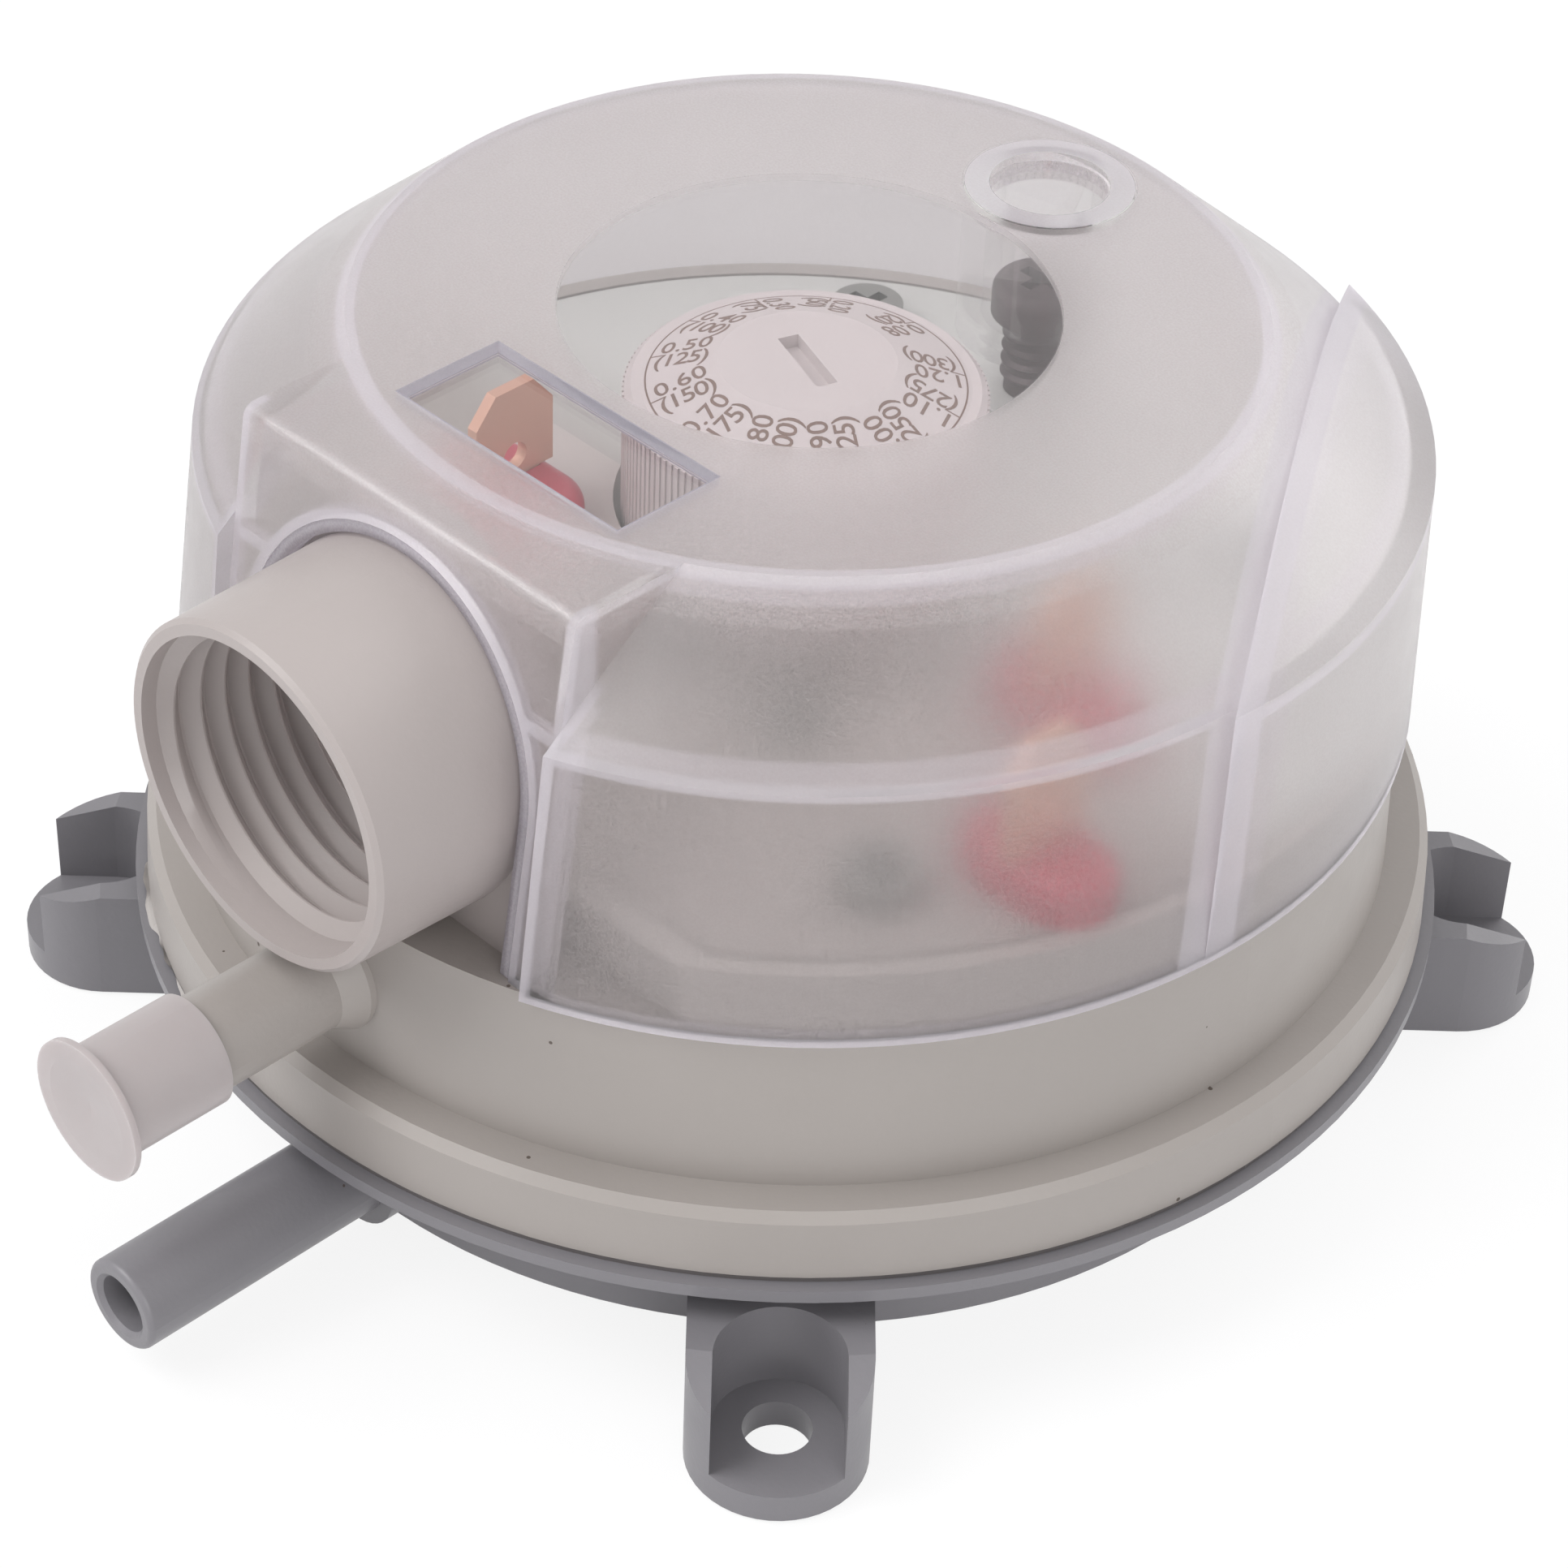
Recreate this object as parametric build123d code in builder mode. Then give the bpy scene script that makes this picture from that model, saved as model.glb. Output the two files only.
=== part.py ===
from build123d import *
import math
import os

# Differential pressure switch. Units are millimetres.
# The origin lies on the axis of the housing, on the underside of the base. +Z is up.
# The two pressure nipples and the conduit entry point along -Y.

os.makedirs("parts", exist_ok=True)

# Driving dimensions

running_fit = 0.05
seat_gap = 0.3
shaft_gap = 0.03
cut_margin = 1.0

# Base moulding
dish_r = 37.2
dish_wall = 2.4
dish_floor = 2.0
dish_bevel_w = 2.2
dish_bevel_h = 2.2
rim_ledge = 0.8
rim_under_z = 10.1
rim_top_z = 11.0
lug_circle_r = 45.7
lug_width = 11.3
lug_count = 4
lug_first_deg = 45.0
lug_floor = 2.0
lug_top_z = 8.2
lug_tip_z = 7.0
lug_hole_r = 2.15
lug_slot_r = 4.05
nipple_r = 3.1
nipple_bore_r = 1.95
nipple_bevel = 0.4
bore_bevel = 0.3
lower_nipple_z = 5.0
nipple_collar_r = 4.1
nipple_collar_len = 1.2
nipple_end_y = 56.6

# Screws that hold the two housings together
base_screw_circle_r = 38.3
base_screw_shaft_r = 1.45
base_screw_slack = 0.15
base_screw_head_r = 2.6
base_screw_head_h = 1.8
base_screw_sink = 2.6
base_screw_top_z = 15.2
base_screw_pillar_r = 2.9
recess_len = 3.2
recess_w = 0.9
recess_depth = 1.0

# Diaphragm and its plates
film_thick = 0.4
film_setback = 0.1
fold_in_r = 28.5
fold_out_r = 34.2
fold_drop = 2.0
plate_r = 27.5
plate_thick = 1.2
plate_bevel = 0.4

# Pin, seal and spring seat
pin_r = 1.5
pin_head_r = 3.0
pin_head_h = 1.0
pin_top_z = 26.2
seal_r = 3.4
seal_h = 1.2
seat_low_r = 4.2
seat_low_z = 22.6
seat_low_h = 0.6
seat_neck_r = 2.6
seat_neck_h = 1.4
seat_high_r = 4.8
seat_high_h = 0.8
seat_nub_r = 2.9
seat_nub_h = 1.8

# Upper moulding
flange_r = 42.4
flange_taper = 0.2
flange_h = 4.7
flange_bevel = 0.6
flange_ledge = 3.0
drum_taper = 0.45
drum_top_z = 27.3
plinth_step = 0.75
plinth_taper = 0.5
plinth_wall = 1.8
plinth_top_z = 31.4
plinth_front_y = 31.0
plinth_front_wall = 2.0
bay_r = 35.0
roof_thick = 2.0
roof_top_z = 21.5
upper_nipple_z = 21.8
upper_nipple_flare = 0.8
upper_nipple_flare_len = 1.6
port_block_half = 4.2
port_block_top_z = 25.6
port_block_back_y = 28.6
port_drop_y = 31.6

# Deck with the collar of the dial
deck_thick = 2.0
deck_hole_r = 5.4
collar_r = 8.6
collar_wall = 2.0
collar_slot_w = 2.4
collar_slot_low = 1.2
collar_slot_high = 1.6
bead_r = 9.35
bead_low_z = 37.1
bead_h = 0.8
tower_x_min = -18.5
tower_x_max = -2.0
tower_y_min = -20.0
tower_y_max = -6.0
tower_top_z = 38.0
tower_corner = 1.2
cover_post_r = 4.2
cover_post_top_z = 36.5
deck_screw_r = 1.25
deck_screw_head_r = 2.5
deck_screw_head_h = 1.8
deck_screw_end_z = 24.8
deck_screw_pillar_r = 3.0
deck_screw_front_x = 24.4
deck_screw_front_y = -17.6
deck_screw_back_x = 18.0
deck_screw_back_y = 24.5
strip_screw_x = 10.8
strip_screw_y = -11.0

# Dial and adjuster
dial_r = 11.3
dial_wall = 1.4
dial_face_z = 47.9
dial_rim_z = 46.1
dial_low_z = 35.8
dial_rim_thick = 1.5
dial_band_r = 10.3
dial_flat_r = 5.6
dial_bevel = 0.4
dial_lip_r = 9.05
dial_lip_h = 0.9
stem_r = 2.5
stem_low_z = 34.2
dial_slot_len = 5.8
dial_slot_w = 1.4
dial_slot_depth = 0.9
dial_slot_deg = -20.0
nut_low_z = 35.2
nut_h = 3.0
nut_ear_w = 1.8
nut_ear_r = 8.1
spring_mean_r = 3.8
spring_wire_r = 0.4
spring_turns = 4.0

# Trip lever
lever_pivot_y = 15.5
lever_thick = 0.9
lever_back_half = 5.6
lever_slot_half = 2.85
lever_short_y = -3.2
lever_tip_y = -17.0
lever_tip_x = 4.2
lever_tip_r = 1.0
lever_barrel_r = 1.9
lever_bump_gap = 0.5
pivot_r = 1.0
ear_in_x = 6.0
ear_thick = 2.4
ear_half = 2.5
ear_top_z = 26.4

# Contact set
contact_y = -15.0
arm_x_min = -7.0
arm_x_max = 13.6
arm_half = 2.0
arm_low_z = 25.2
arm_thick = 0.3
contact_x = 12.0
contact_r = 1.3
contact_shank_r = 0.75
contact_h = 0.5
contact_lift = 1.3
strip_thick = 0.8
strip_half = 2.0
strip_x_min = 8.5
strip_x_max = 16.0
nc_strip_front_y = -13.9
nc_strip_back_y = -11.0
no_strip_back_y = -8.0

# Blade terminals
blade_w = 6.3
blade_thick = 0.8
blade_bevel_w = 1.6
blade_bevel_h = 1.9
blade_hole_r = 0.95
blade_hole_drop = 5.0
tang_w = 4.0
common_x = -11.0
common_y = -14.7
common_top_z = 47.5
nc_x = 30.0
nc_y = -10.0
no_x = 20.7
no_y = 2.6
side_blade_top_z = 42.0
foot_len = 10.5
foot_w = 6.4
foot_h = 3.0
foot_round = 1.3
slot_gap = 0.1

# Cover
cover_overhang = 0.75
cover_wall = 1.2
shoulder_r = 37.9
shoulder_z = 44.4
cover_top_z = 52.6
disc_r = 28.3
bulge_shoulder_r = 39.1
bulge_shoulder_z = 45.0
bulge_plane_d = 30.8
bulge_dir_deg = 32.0
box_half = 14.4
box_front_low_y = 36.3
box_front_top_y = 32.6
box_back_y = 15.0
box_edge_round = 0.9
arch_r = 12.7
window_x_half = 9.55
window_y_min = -24.95
window_y_max = -16.95
window_sink = 0.75
tube_y = 21.64
tube_r = 5.47
tube_bore_r = 3.87
tube_floor_top_z = 42.3
cover_screw_r = 2.0
cover_screw_head_r = 3.2
cover_screw_head_h = 2.5
cover_screw_end_z = 32.6
cover_screw_hole_r = 2.3
head_round = 0.9

# Conduit entry
hub_z = 37.9
hub_root_r = 11.6
hub_mouth_r = 11.25
hub_mouth_y = 44.5
hub_bore_r = 10.25
hub_plate_thick = 2.0
hub_plate_half = 12.9
hub_plate_side_gap = 0.25
hub_bevel = 0.3

# Cap on the upper nipple
cap_open_y = 49.8
cap_end_y = 57.8
cap_wall = 0.5
cap_rim_r = 4.6
cap_rim_h = 0.9
cap_floor = 0.9
cap_dish_r = 3.4
cap_dish_depth = 0.35

# Derived heights and radii

film_low_z = rim_top_z
film_high_z = film_low_z + film_thick
flange_low_z = film_high_z
flange_top_z = flange_low_z + flange_h
chamber_r = dish_r - dish_wall
roof_low_z = roof_top_z - roof_thick
seal_low_z = roof_top_z - seal_h
lug_half = lug_width / 2
lug_wall_run = math.sqrt(lug_half**2 - lug_slot_r**2)
lug_slope = (lug_top_z - lug_tip_z) / lug_wall_run
lug_tip_r = lug_circle_r + lug_half
seat_neck_z = seat_low_z + seat_low_h
seat_high_z = seat_neck_z + seat_neck_h
seat_nub_z = seat_high_z + seat_high_h
seat_top_z = seat_nub_z + seat_nub_h
deck_low_z = plinth_top_z - deck_thick
deck_top_z = plinth_top_z
rim_r = flange_r + rim_ledge
film_r = flange_r - film_setback
flange_top_r = flange_r - flange_taper
drum_low_r = flange_r - flange_ledge
drum_high_r = drum_low_r - drum_taper
plinth_r = drum_high_r - plinth_step
plinth_top_r = plinth_r - plinth_taper
cover_low_r = drum_high_r + cover_overhang
deck_r = plinth_r - plinth_wall - seat_gap
collar_top_z = dial_rim_z - dial_rim_thick
collar_bore_r = collar_r - collar_wall
nut_r = collar_bore_r - seat_gap
dial_bore_r = dial_r - dial_wall
lever_mid_z = seat_neck_z + seat_neck_h / 2
lever_low_z = lever_mid_z - lever_thick / 2
lever_high_z = lever_mid_z + lever_thick / 2
arm_high_z = arm_low_z + arm_thick
contact_low_z = arm_low_z - contact_h
contact_high_z = arm_high_z + contact_h
nc_strip_z = contact_low_z - contact_h - strip_thick
no_strip_z = deck_low_z - strip_thick
no_button_z = contact_high_z + contact_lift
common_foot_z = arm_low_z + arm_thick / 2 - strip_thick / 2
common_foot_x = arm_x_min - seat_gap
foot_top_common_z = tower_top_z + foot_h
foot_top_side_z = deck_top_z + foot_h
inner_top_z = cover_top_z - cover_wall
box_slope = (box_front_low_y - box_front_top_y) / (cover_top_z - drum_top_z)
hub_plate_front_y = box_front_low_y - cover_wall - hub_plate_side_gap
cap_bore_r = nipple_r + running_fit
cap_r = cap_bore_r + cap_wall
base_screw_hole_r = base_screw_shaft_r + base_screw_slack
pilot_hole_r = base_screw_shaft_r + running_fit


def box_front_at(height, depth):
    # Distance of the sloping front of the cover from the axis, moved in by depth.
    return box_front_low_y - depth - box_slope * (height - drum_top_z)


# Grey base: dish, rim, lugs and lower nipple

with BuildPart() as base_housing:
    with BuildSketch(Plane.XZ) as base_profile:
        with BuildLine() as base_line:
            Polyline(
                (0, 0),
                (dish_r - dish_bevel_w, 0),
                (dish_r, dish_bevel_h),
                (dish_r, rim_under_z),
                (rim_r, rim_under_z),
                (rim_r, rim_top_z),
                (chamber_r, rim_top_z),
                (chamber_r, dish_floor),
                (0, dish_floor),
                close=True,
            )
        make_face()
    revolve(axis=Axis.Z)
    with BuildSketch(Plane.XY) as lug_outline:
        with PolarLocations(lug_circle_r, lug_count, start_angle=lug_first_deg):
            Circle(lug_half)
            Rectangle(lug_circle_r - dish_r + cut_margin, lug_width, align=(Align.MAX, Align.CENTER))
    extrude(amount=lug_top_z)
    with BuildSketch(Plane.XZ) as lug_slope_profile:
        with BuildLine() as lug_slope_line:
            Polyline(
                (lug_circle_r, lug_top_z),
                (lug_tip_r + cut_margin, lug_top_z - lug_slope * (lug_half + cut_margin)),
                (lug_tip_r + cut_margin, lug_top_z + cut_margin),
                (lug_circle_r, lug_top_z + cut_margin),
                close=True,
            )
        make_face()
    revolve(axis=Axis.Z, mode=Mode.SUBTRACT)
    with BuildSketch(Plane.XY) as pillars:
        with PolarLocations(base_screw_circle_r, lug_count, start_angle=lug_first_deg):
            Circle(base_screw_pillar_r)
    extrude(amount=rim_under_z)
    with BuildSketch(Plane.XY.offset(lug_floor)) as lug_slots:
        with PolarLocations(lug_circle_r, lug_count, start_angle=lug_first_deg):
            Circle(lug_slot_r)
            Rectangle(lug_half + cut_margin, 2 * lug_slot_r, align=(Align.MIN, Align.CENTER))
    extrude(amount=rim_under_z - lug_floor, mode=Mode.SUBTRACT)
    with BuildSketch(Plane.XY) as lug_holes:
        with PolarLocations(lug_circle_r, lug_count, start_angle=lug_first_deg):
            Circle(lug_hole_r)
    extrude(amount=lug_floor, mode=Mode.SUBTRACT)
    with BuildSketch(Plane.XY) as screw_sinks:
        with PolarLocations(base_screw_circle_r, lug_count, start_angle=lug_first_deg):
            Circle(base_screw_head_r + running_fit * 3)
    extrude(amount=base_screw_sink, mode=Mode.SUBTRACT)
    with BuildSketch(Plane.XY) as screw_holes:
        with PolarLocations(base_screw_circle_r, lug_count, start_angle=lug_first_deg):
            Circle(base_screw_hole_r)
    extrude(amount=rim_top_z, mode=Mode.SUBTRACT)
    with BuildSketch(Plane.XZ.offset(chamber_r + dish_wall / 2)) as lower_collar_sketch:
        with Locations((0, lower_nipple_z)):
            Circle(nipple_collar_r)
    extrude(amount=dish_wall / 2 + nipple_collar_len)
    with BuildSketch(Plane.XZ.offset(chamber_r + dish_wall / 2)) as lower_nipple_sketch:
        with Locations((0, lower_nipple_z)):
            Circle(nipple_r)
    extrude(amount=nipple_end_y - chamber_r - dish_wall / 2)
    lower_nipple_rim = base_housing.edges().filter_by(GeomType.CIRCLE).sort_by(Axis.Y)[0]
    fillet(lower_nipple_rim, radius=nipple_bevel)
    with BuildSketch(Plane.XZ.offset(nipple_end_y)) as lower_bore:
        with Locations((0, lower_nipple_z)):
            Circle(nipple_bore_r)
    extrude(amount=-(nipple_end_y - chamber_r + cut_margin), mode=Mode.SUBTRACT)
    lower_end_rims = base_housing.edges().filter_by(GeomType.CIRCLE).group_by(Axis.Y)[0]
    chamfer(lower_end_rims.sort_by(SortBy.RADIUS)[0], length=bore_bevel)
base_housing.part.label = "base_housing"
export_step(base_housing.part, "parts/base_housing.step")


# Four screws from below, one in the root of each lug

with BuildPart() as base_screws:
    with BuildSketch(Plane.XY.offset(base_screw_sink - base_screw_head_h)) as base_screw_heads:
        with PolarLocations(base_screw_circle_r, lug_count, start_angle=lug_first_deg):
            Circle(base_screw_head_r)
    extrude(amount=base_screw_head_h)
    with BuildSketch(Plane.XY.offset(base_screw_sink)) as base_screw_shafts:
        with PolarLocations(base_screw_circle_r, lug_count, start_angle=lug_first_deg):
            Circle(base_screw_shaft_r)
    extrude(amount=base_screw_top_z - base_screw_sink)
    with BuildSketch(Plane.XY.offset(base_screw_sink - base_screw_head_h)) as base_screw_cross:
        with PolarLocations(base_screw_circle_r, lug_count, start_angle=lug_first_deg):
            Rectangle(recess_len, recess_w)
            Rectangle(recess_w, recess_len)
    extrude(amount=recess_depth, mode=Mode.SUBTRACT)
base_screws.part.label = "base_screws"
export_step(base_screws.part, "parts/base_screws.step")


# Diaphragm: flat clamped edge, one hanging fold and a flat middle

fold_mid_r = (fold_in_r + fold_out_r) / 2
with BuildPart() as diaphragm:
    with BuildSketch(Plane.XZ) as film_profile:
        with BuildLine() as film_line:
            Line((pin_r + running_fit, film_low_z), (fold_in_r, film_low_z))
            ThreePointArc(
                (fold_in_r, film_low_z),
                (fold_mid_r, film_low_z - fold_drop),
                (fold_out_r, film_low_z),
            )
            Line((fold_out_r, film_low_z), (film_r, film_low_z))
            Line((film_r, film_low_z), (film_r, film_high_z))
            Line((film_r, film_high_z), (fold_out_r, film_high_z))
            ThreePointArc(
                (fold_out_r, film_high_z),
                (fold_mid_r, film_high_z - fold_drop),
                (fold_in_r, film_high_z),
            )
            Line((fold_in_r, film_high_z), (pin_r + running_fit, film_high_z))
            Line((pin_r + running_fit, film_high_z), (pin_r + running_fit, film_low_z))
        make_face()
    revolve(axis=Axis.Z)
    with BuildSketch(Plane.XY.offset(film_low_z)) as film_holes:
        with PolarLocations(base_screw_circle_r, lug_count, start_angle=lug_first_deg):
            Circle(base_screw_hole_r)
    extrude(amount=film_thick, mode=Mode.SUBTRACT)
diaphragm.part.label = "diaphragm"
export_step(diaphragm.part, "parts/diaphragm.step")


# Plates below and above the middle of the diaphragm

with BuildPart() as diaphragm_lower_plate:
    with BuildSketch(Plane.XY.offset(film_low_z - plate_thick)) as lower_plate_sketch:
        Circle(plate_r)
        Circle(pin_r + running_fit, mode=Mode.SUBTRACT)
    extrude(amount=plate_thick)
    lower_plate_edge = diaphragm_lower_plate.edges().filter_by(GeomType.CIRCLE).group_by(Axis.Z)[0]
    chamfer(lower_plate_edge.sort_by(SortBy.RADIUS)[-1], length=plate_bevel)
diaphragm_lower_plate.part.label = "diaphragm_lower_plate"
export_step(diaphragm_lower_plate.part, "parts/diaphragm_lower_plate.step")

with BuildPart() as diaphragm_upper_plate:
    with BuildSketch(Plane.XY.offset(film_high_z)) as upper_plate_sketch:
        Circle(plate_r)
        Circle(pin_r + running_fit, mode=Mode.SUBTRACT)
    extrude(amount=plate_thick)
    upper_plate_edge = diaphragm_upper_plate.edges().filter_by(GeomType.CIRCLE).group_by(Axis.Z)[-1]
    chamfer(upper_plate_edge.sort_by(SortBy.RADIUS)[-1], length=plate_bevel)
diaphragm_upper_plate.part.label = "diaphragm_upper_plate"
export_step(diaphragm_upper_plate.part, "parts/diaphragm_upper_plate.step")


# Push pin with its head under the lower plate and a collar above the upper plate

pin_head_z = film_low_z - plate_thick - pin_head_h
upper_plate_top_z = film_high_z + plate_thick
with BuildPart() as push_pin:
    with BuildSketch(Plane.XY.offset(pin_head_z)) as pin_head_sketch:
        Circle(pin_head_r)
    extrude(amount=pin_head_h)
    with BuildSketch(Plane.XY.offset(pin_head_z)) as pin_shaft_sketch:
        Circle(pin_r)
    extrude(amount=pin_top_z - pin_head_z)
push_pin.part.label = "push_pin"
export_step(push_pin.part, "parts/push_pin.step")


# Rubber ring in the roof round the pin

with BuildPart() as pin_seal:
    with BuildSketch(Plane.XY.offset(seal_low_z)) as seal_sketch:
        Circle(seal_r)
        Circle(pin_r + running_fit, mode=Mode.SUBTRACT)
    extrude(amount=seal_h)
pin_seal.part.label = "pin_seal"
export_step(pin_seal.part, "parts/pin_seal.step")


# Spring seat on top of the pin, with the groove for the lever

with BuildPart() as spring_seat:
    with BuildSketch(Plane.XZ) as seat_profile:
        with BuildLine() as seat_line:
            Polyline(
                (0, pin_top_z),
                (pin_r + shaft_gap, pin_top_z),
                (pin_r + shaft_gap, seat_low_z),
                (seat_low_r, seat_low_z),
                (seat_low_r, seat_neck_z),
                (seat_neck_r, seat_neck_z),
                (seat_neck_r, seat_high_z),
                (seat_high_r, seat_high_z),
                (seat_high_r, seat_nub_z),
                (seat_nub_r, seat_nub_z),
                (seat_nub_r - dial_bevel, seat_top_z),
                (0, seat_top_z),
                close=True,
            )
        make_face()
    revolve(axis=Axis.Z)
spring_seat.part.label = "spring_seat"
export_step(spring_seat.part, "parts/spring_seat.step")


# Adjusting spring between the seat and the nut

spring_low_z = seat_nub_z + spring_wire_r
spring_high_z = nut_low_z - spring_wire_r
spring_pitch = (spring_high_z - spring_low_z) / spring_turns
with BuildPart() as adjusting_spring:
    with BuildLine() as spring_path:
        Helix(
            pitch=spring_pitch,
            height=spring_high_z - spring_low_z,
            radius=spring_mean_r,
            center=(0, 0, spring_low_z),
        )
    with BuildSketch(Plane(origin=spring_path.line @ 0, z_dir=spring_path.line % 0)) as spring_section:
        RegularPolygon(spring_wire_r, 8)
    sweep(path=spring_path.line, is_frenet=True)
adjusting_spring.part.label = "adjusting_spring"
export_step(adjusting_spring.part, "parts/adjusting_spring.step")


# Upper moulding: flange, drum, plinth, roof, upper nipple and bosses

with BuildPart() as upper_housing:
    with BuildSketch(Plane.XZ) as upper_profile:
        with BuildLine() as upper_line:
            Polyline(
                (chamber_r, flange_low_z),
                (flange_r, flange_low_z),
                (flange_top_r, flange_top_z - flange_bevel),
                (flange_top_r - flange_bevel, flange_top_z),
                (drum_low_r, flange_top_z),
                (drum_high_r, drum_top_z),
                (plinth_r, drum_top_z),
                (plinth_top_r, plinth_top_z),
                (plinth_r - plinth_wall, plinth_top_z),
                (plinth_r - plinth_wall, deck_low_z),
                (bay_r, deck_low_z),
                (bay_r, roof_top_z),
                (seal_r + shaft_gap, roof_top_z),
                (seal_r + shaft_gap, seal_low_z),
                (pin_r + running_fit, seal_low_z),
                (pin_r + running_fit, roof_low_z),
                (chamber_r, roof_low_z),
                close=True,
            )
        make_face()
    revolve(axis=Axis.Z)
    with BuildSketch(Plane.XY.offset(roof_top_z)) as front_block:
        Circle(bay_r + cut_margin)
        with Locations((0, cut_margin - plinth_front_y + plinth_front_wall - cut_margin)):
            Rectangle(3 * bay_r, 3 * bay_r, align=(Align.CENTER, Align.MIN), mode=Mode.SUBTRACT)
    extrude(amount=deck_low_z - roof_top_z)
    with BuildSketch(Plane.XY.offset(deck_low_z)) as front_wall:
        Circle(plinth_r - plinth_wall / 2)
        with Locations((0, plinth_front_wall - plinth_front_y)):
            Rectangle(3 * bay_r, 3 * bay_r, align=(Align.CENTER, Align.MIN), mode=Mode.SUBTRACT)
    extrude(amount=deck_thick)
    with BuildSketch(Plane.XY.offset(drum_top_z)) as front_shelf:
        with Locations((0, -plinth_front_y)):
            Rectangle(3 * bay_r, bay_r, align=(Align.CENTER, Align.MAX))
    extrude(amount=plinth_top_z - drum_top_z + cut_margin, mode=Mode.SUBTRACT)
    with BuildSketch(Plane.XY.offset(roof_top_z)) as deck_pillars:
        with Locations(
            (deck_screw_front_x, deck_screw_front_y),
            (-deck_screw_front_x, deck_screw_front_y),
            (deck_screw_back_x, deck_screw_back_y),
            (-deck_screw_back_x, deck_screw_back_y),
        ):
            Circle(deck_screw_pillar_r)
            Circle(deck_screw_r + shaft_gap, mode=Mode.SUBTRACT)
    extrude(amount=deck_low_z - roof_top_z)
    with BuildSketch(Plane.XY.offset(roof_top_z)) as port_block:
        with Locations((0, -port_block_back_y)):
            Rectangle(2 * port_block_half, bay_r - port_block_back_y, align=(Align.CENTER, Align.MAX))
    extrude(amount=port_block_top_z - roof_top_z)
    with BuildSketch(Plane.XY.offset(roof_top_z)) as pivot_ears:
        with Locations((ear_in_x + ear_thick / 2, lever_pivot_y), (-ear_in_x - ear_thick / 2, lever_pivot_y)):
            Rectangle(ear_thick, 2 * ear_half)
    extrude(amount=ear_top_z - roof_top_z)
    with BuildSketch(Plane.YZ.offset(-ear_in_x - ear_thick)) as pivot_hole:
        with Locations((lever_pivot_y, lever_mid_z)):
            Circle(pivot_r + shaft_gap)
    extrude(amount=2 * (ear_in_x + ear_thick), mode=Mode.SUBTRACT)
    with BuildSketch(Plane.XZ.offset(drum_high_r - cut_margin)) as upper_nipple_sketch:
        with Locations((0, upper_nipple_z)):
            Circle(nipple_r)
    extrude(amount=nipple_end_y - drum_high_r + cut_margin)
    upper_nipple_rim = upper_housing.edges().filter_by(GeomType.CIRCLE).sort_by(Axis.Y)[0]
    fillet(upper_nipple_rim, radius=nipple_bevel)
    with BuildSketch(Plane.YZ) as flare_profile:
        with BuildLine() as flare_line:
            Polyline(
                (-drum_high_r + cut_margin, upper_nipple_z),
                (-drum_high_r + cut_margin, upper_nipple_z + nipple_r + upper_nipple_flare),
                (-drum_low_r, upper_nipple_z + nipple_r + upper_nipple_flare),
                (-drum_low_r - upper_nipple_flare_len, upper_nipple_z + nipple_r),
                (-drum_low_r - upper_nipple_flare_len, upper_nipple_z),
                close=True,
            )
        make_face()
    revolve(axis=Axis((0, 0, upper_nipple_z), (0, 1, 0)))
    with BuildSketch(Plane.XZ.offset(nipple_end_y)) as upper_bore:
        with Locations((0, upper_nipple_z)):
            Circle(nipple_bore_r)
    extrude(amount=-(nipple_end_y - port_drop_y), mode=Mode.SUBTRACT)
    upper_end_rims = upper_housing.edges().filter_by(GeomType.CIRCLE).group_by(Axis.Y)[0]
    chamfer(upper_end_rims.sort_by(SortBy.RADIUS)[0], length=bore_bevel)
    with BuildSketch(Plane.XY.offset(roof_low_z)) as port_drop:
        with Locations((0, -port_drop_y)):
            Circle(nipple_bore_r)
    extrude(amount=upper_nipple_z - roof_low_z, mode=Mode.SUBTRACT)
    with BuildSketch(Plane.XY.offset(flange_low_z)) as pilot_holes:
        with PolarLocations(base_screw_circle_r, lug_count, start_angle=lug_first_deg):
            Circle(pilot_hole_r)
    extrude(amount=base_screw_top_z - flange_low_z + running_fit, mode=Mode.SUBTRACT)
    with BuildSketch(Plane.XZ.offset(plinth_front_y - plinth_front_wall - seat_gap)) as hub_saddle:
        with Locations((0, hub_z)):
            Circle(hub_root_r + seat_gap)
    extrude(amount=drum_low_r, mode=Mode.SUBTRACT)
upper_housing.part.label = "upper_housing"
export_step(upper_housing.part, "parts/upper_housing.step")


# Conduit entry: round hub on a leaning arched plate

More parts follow.
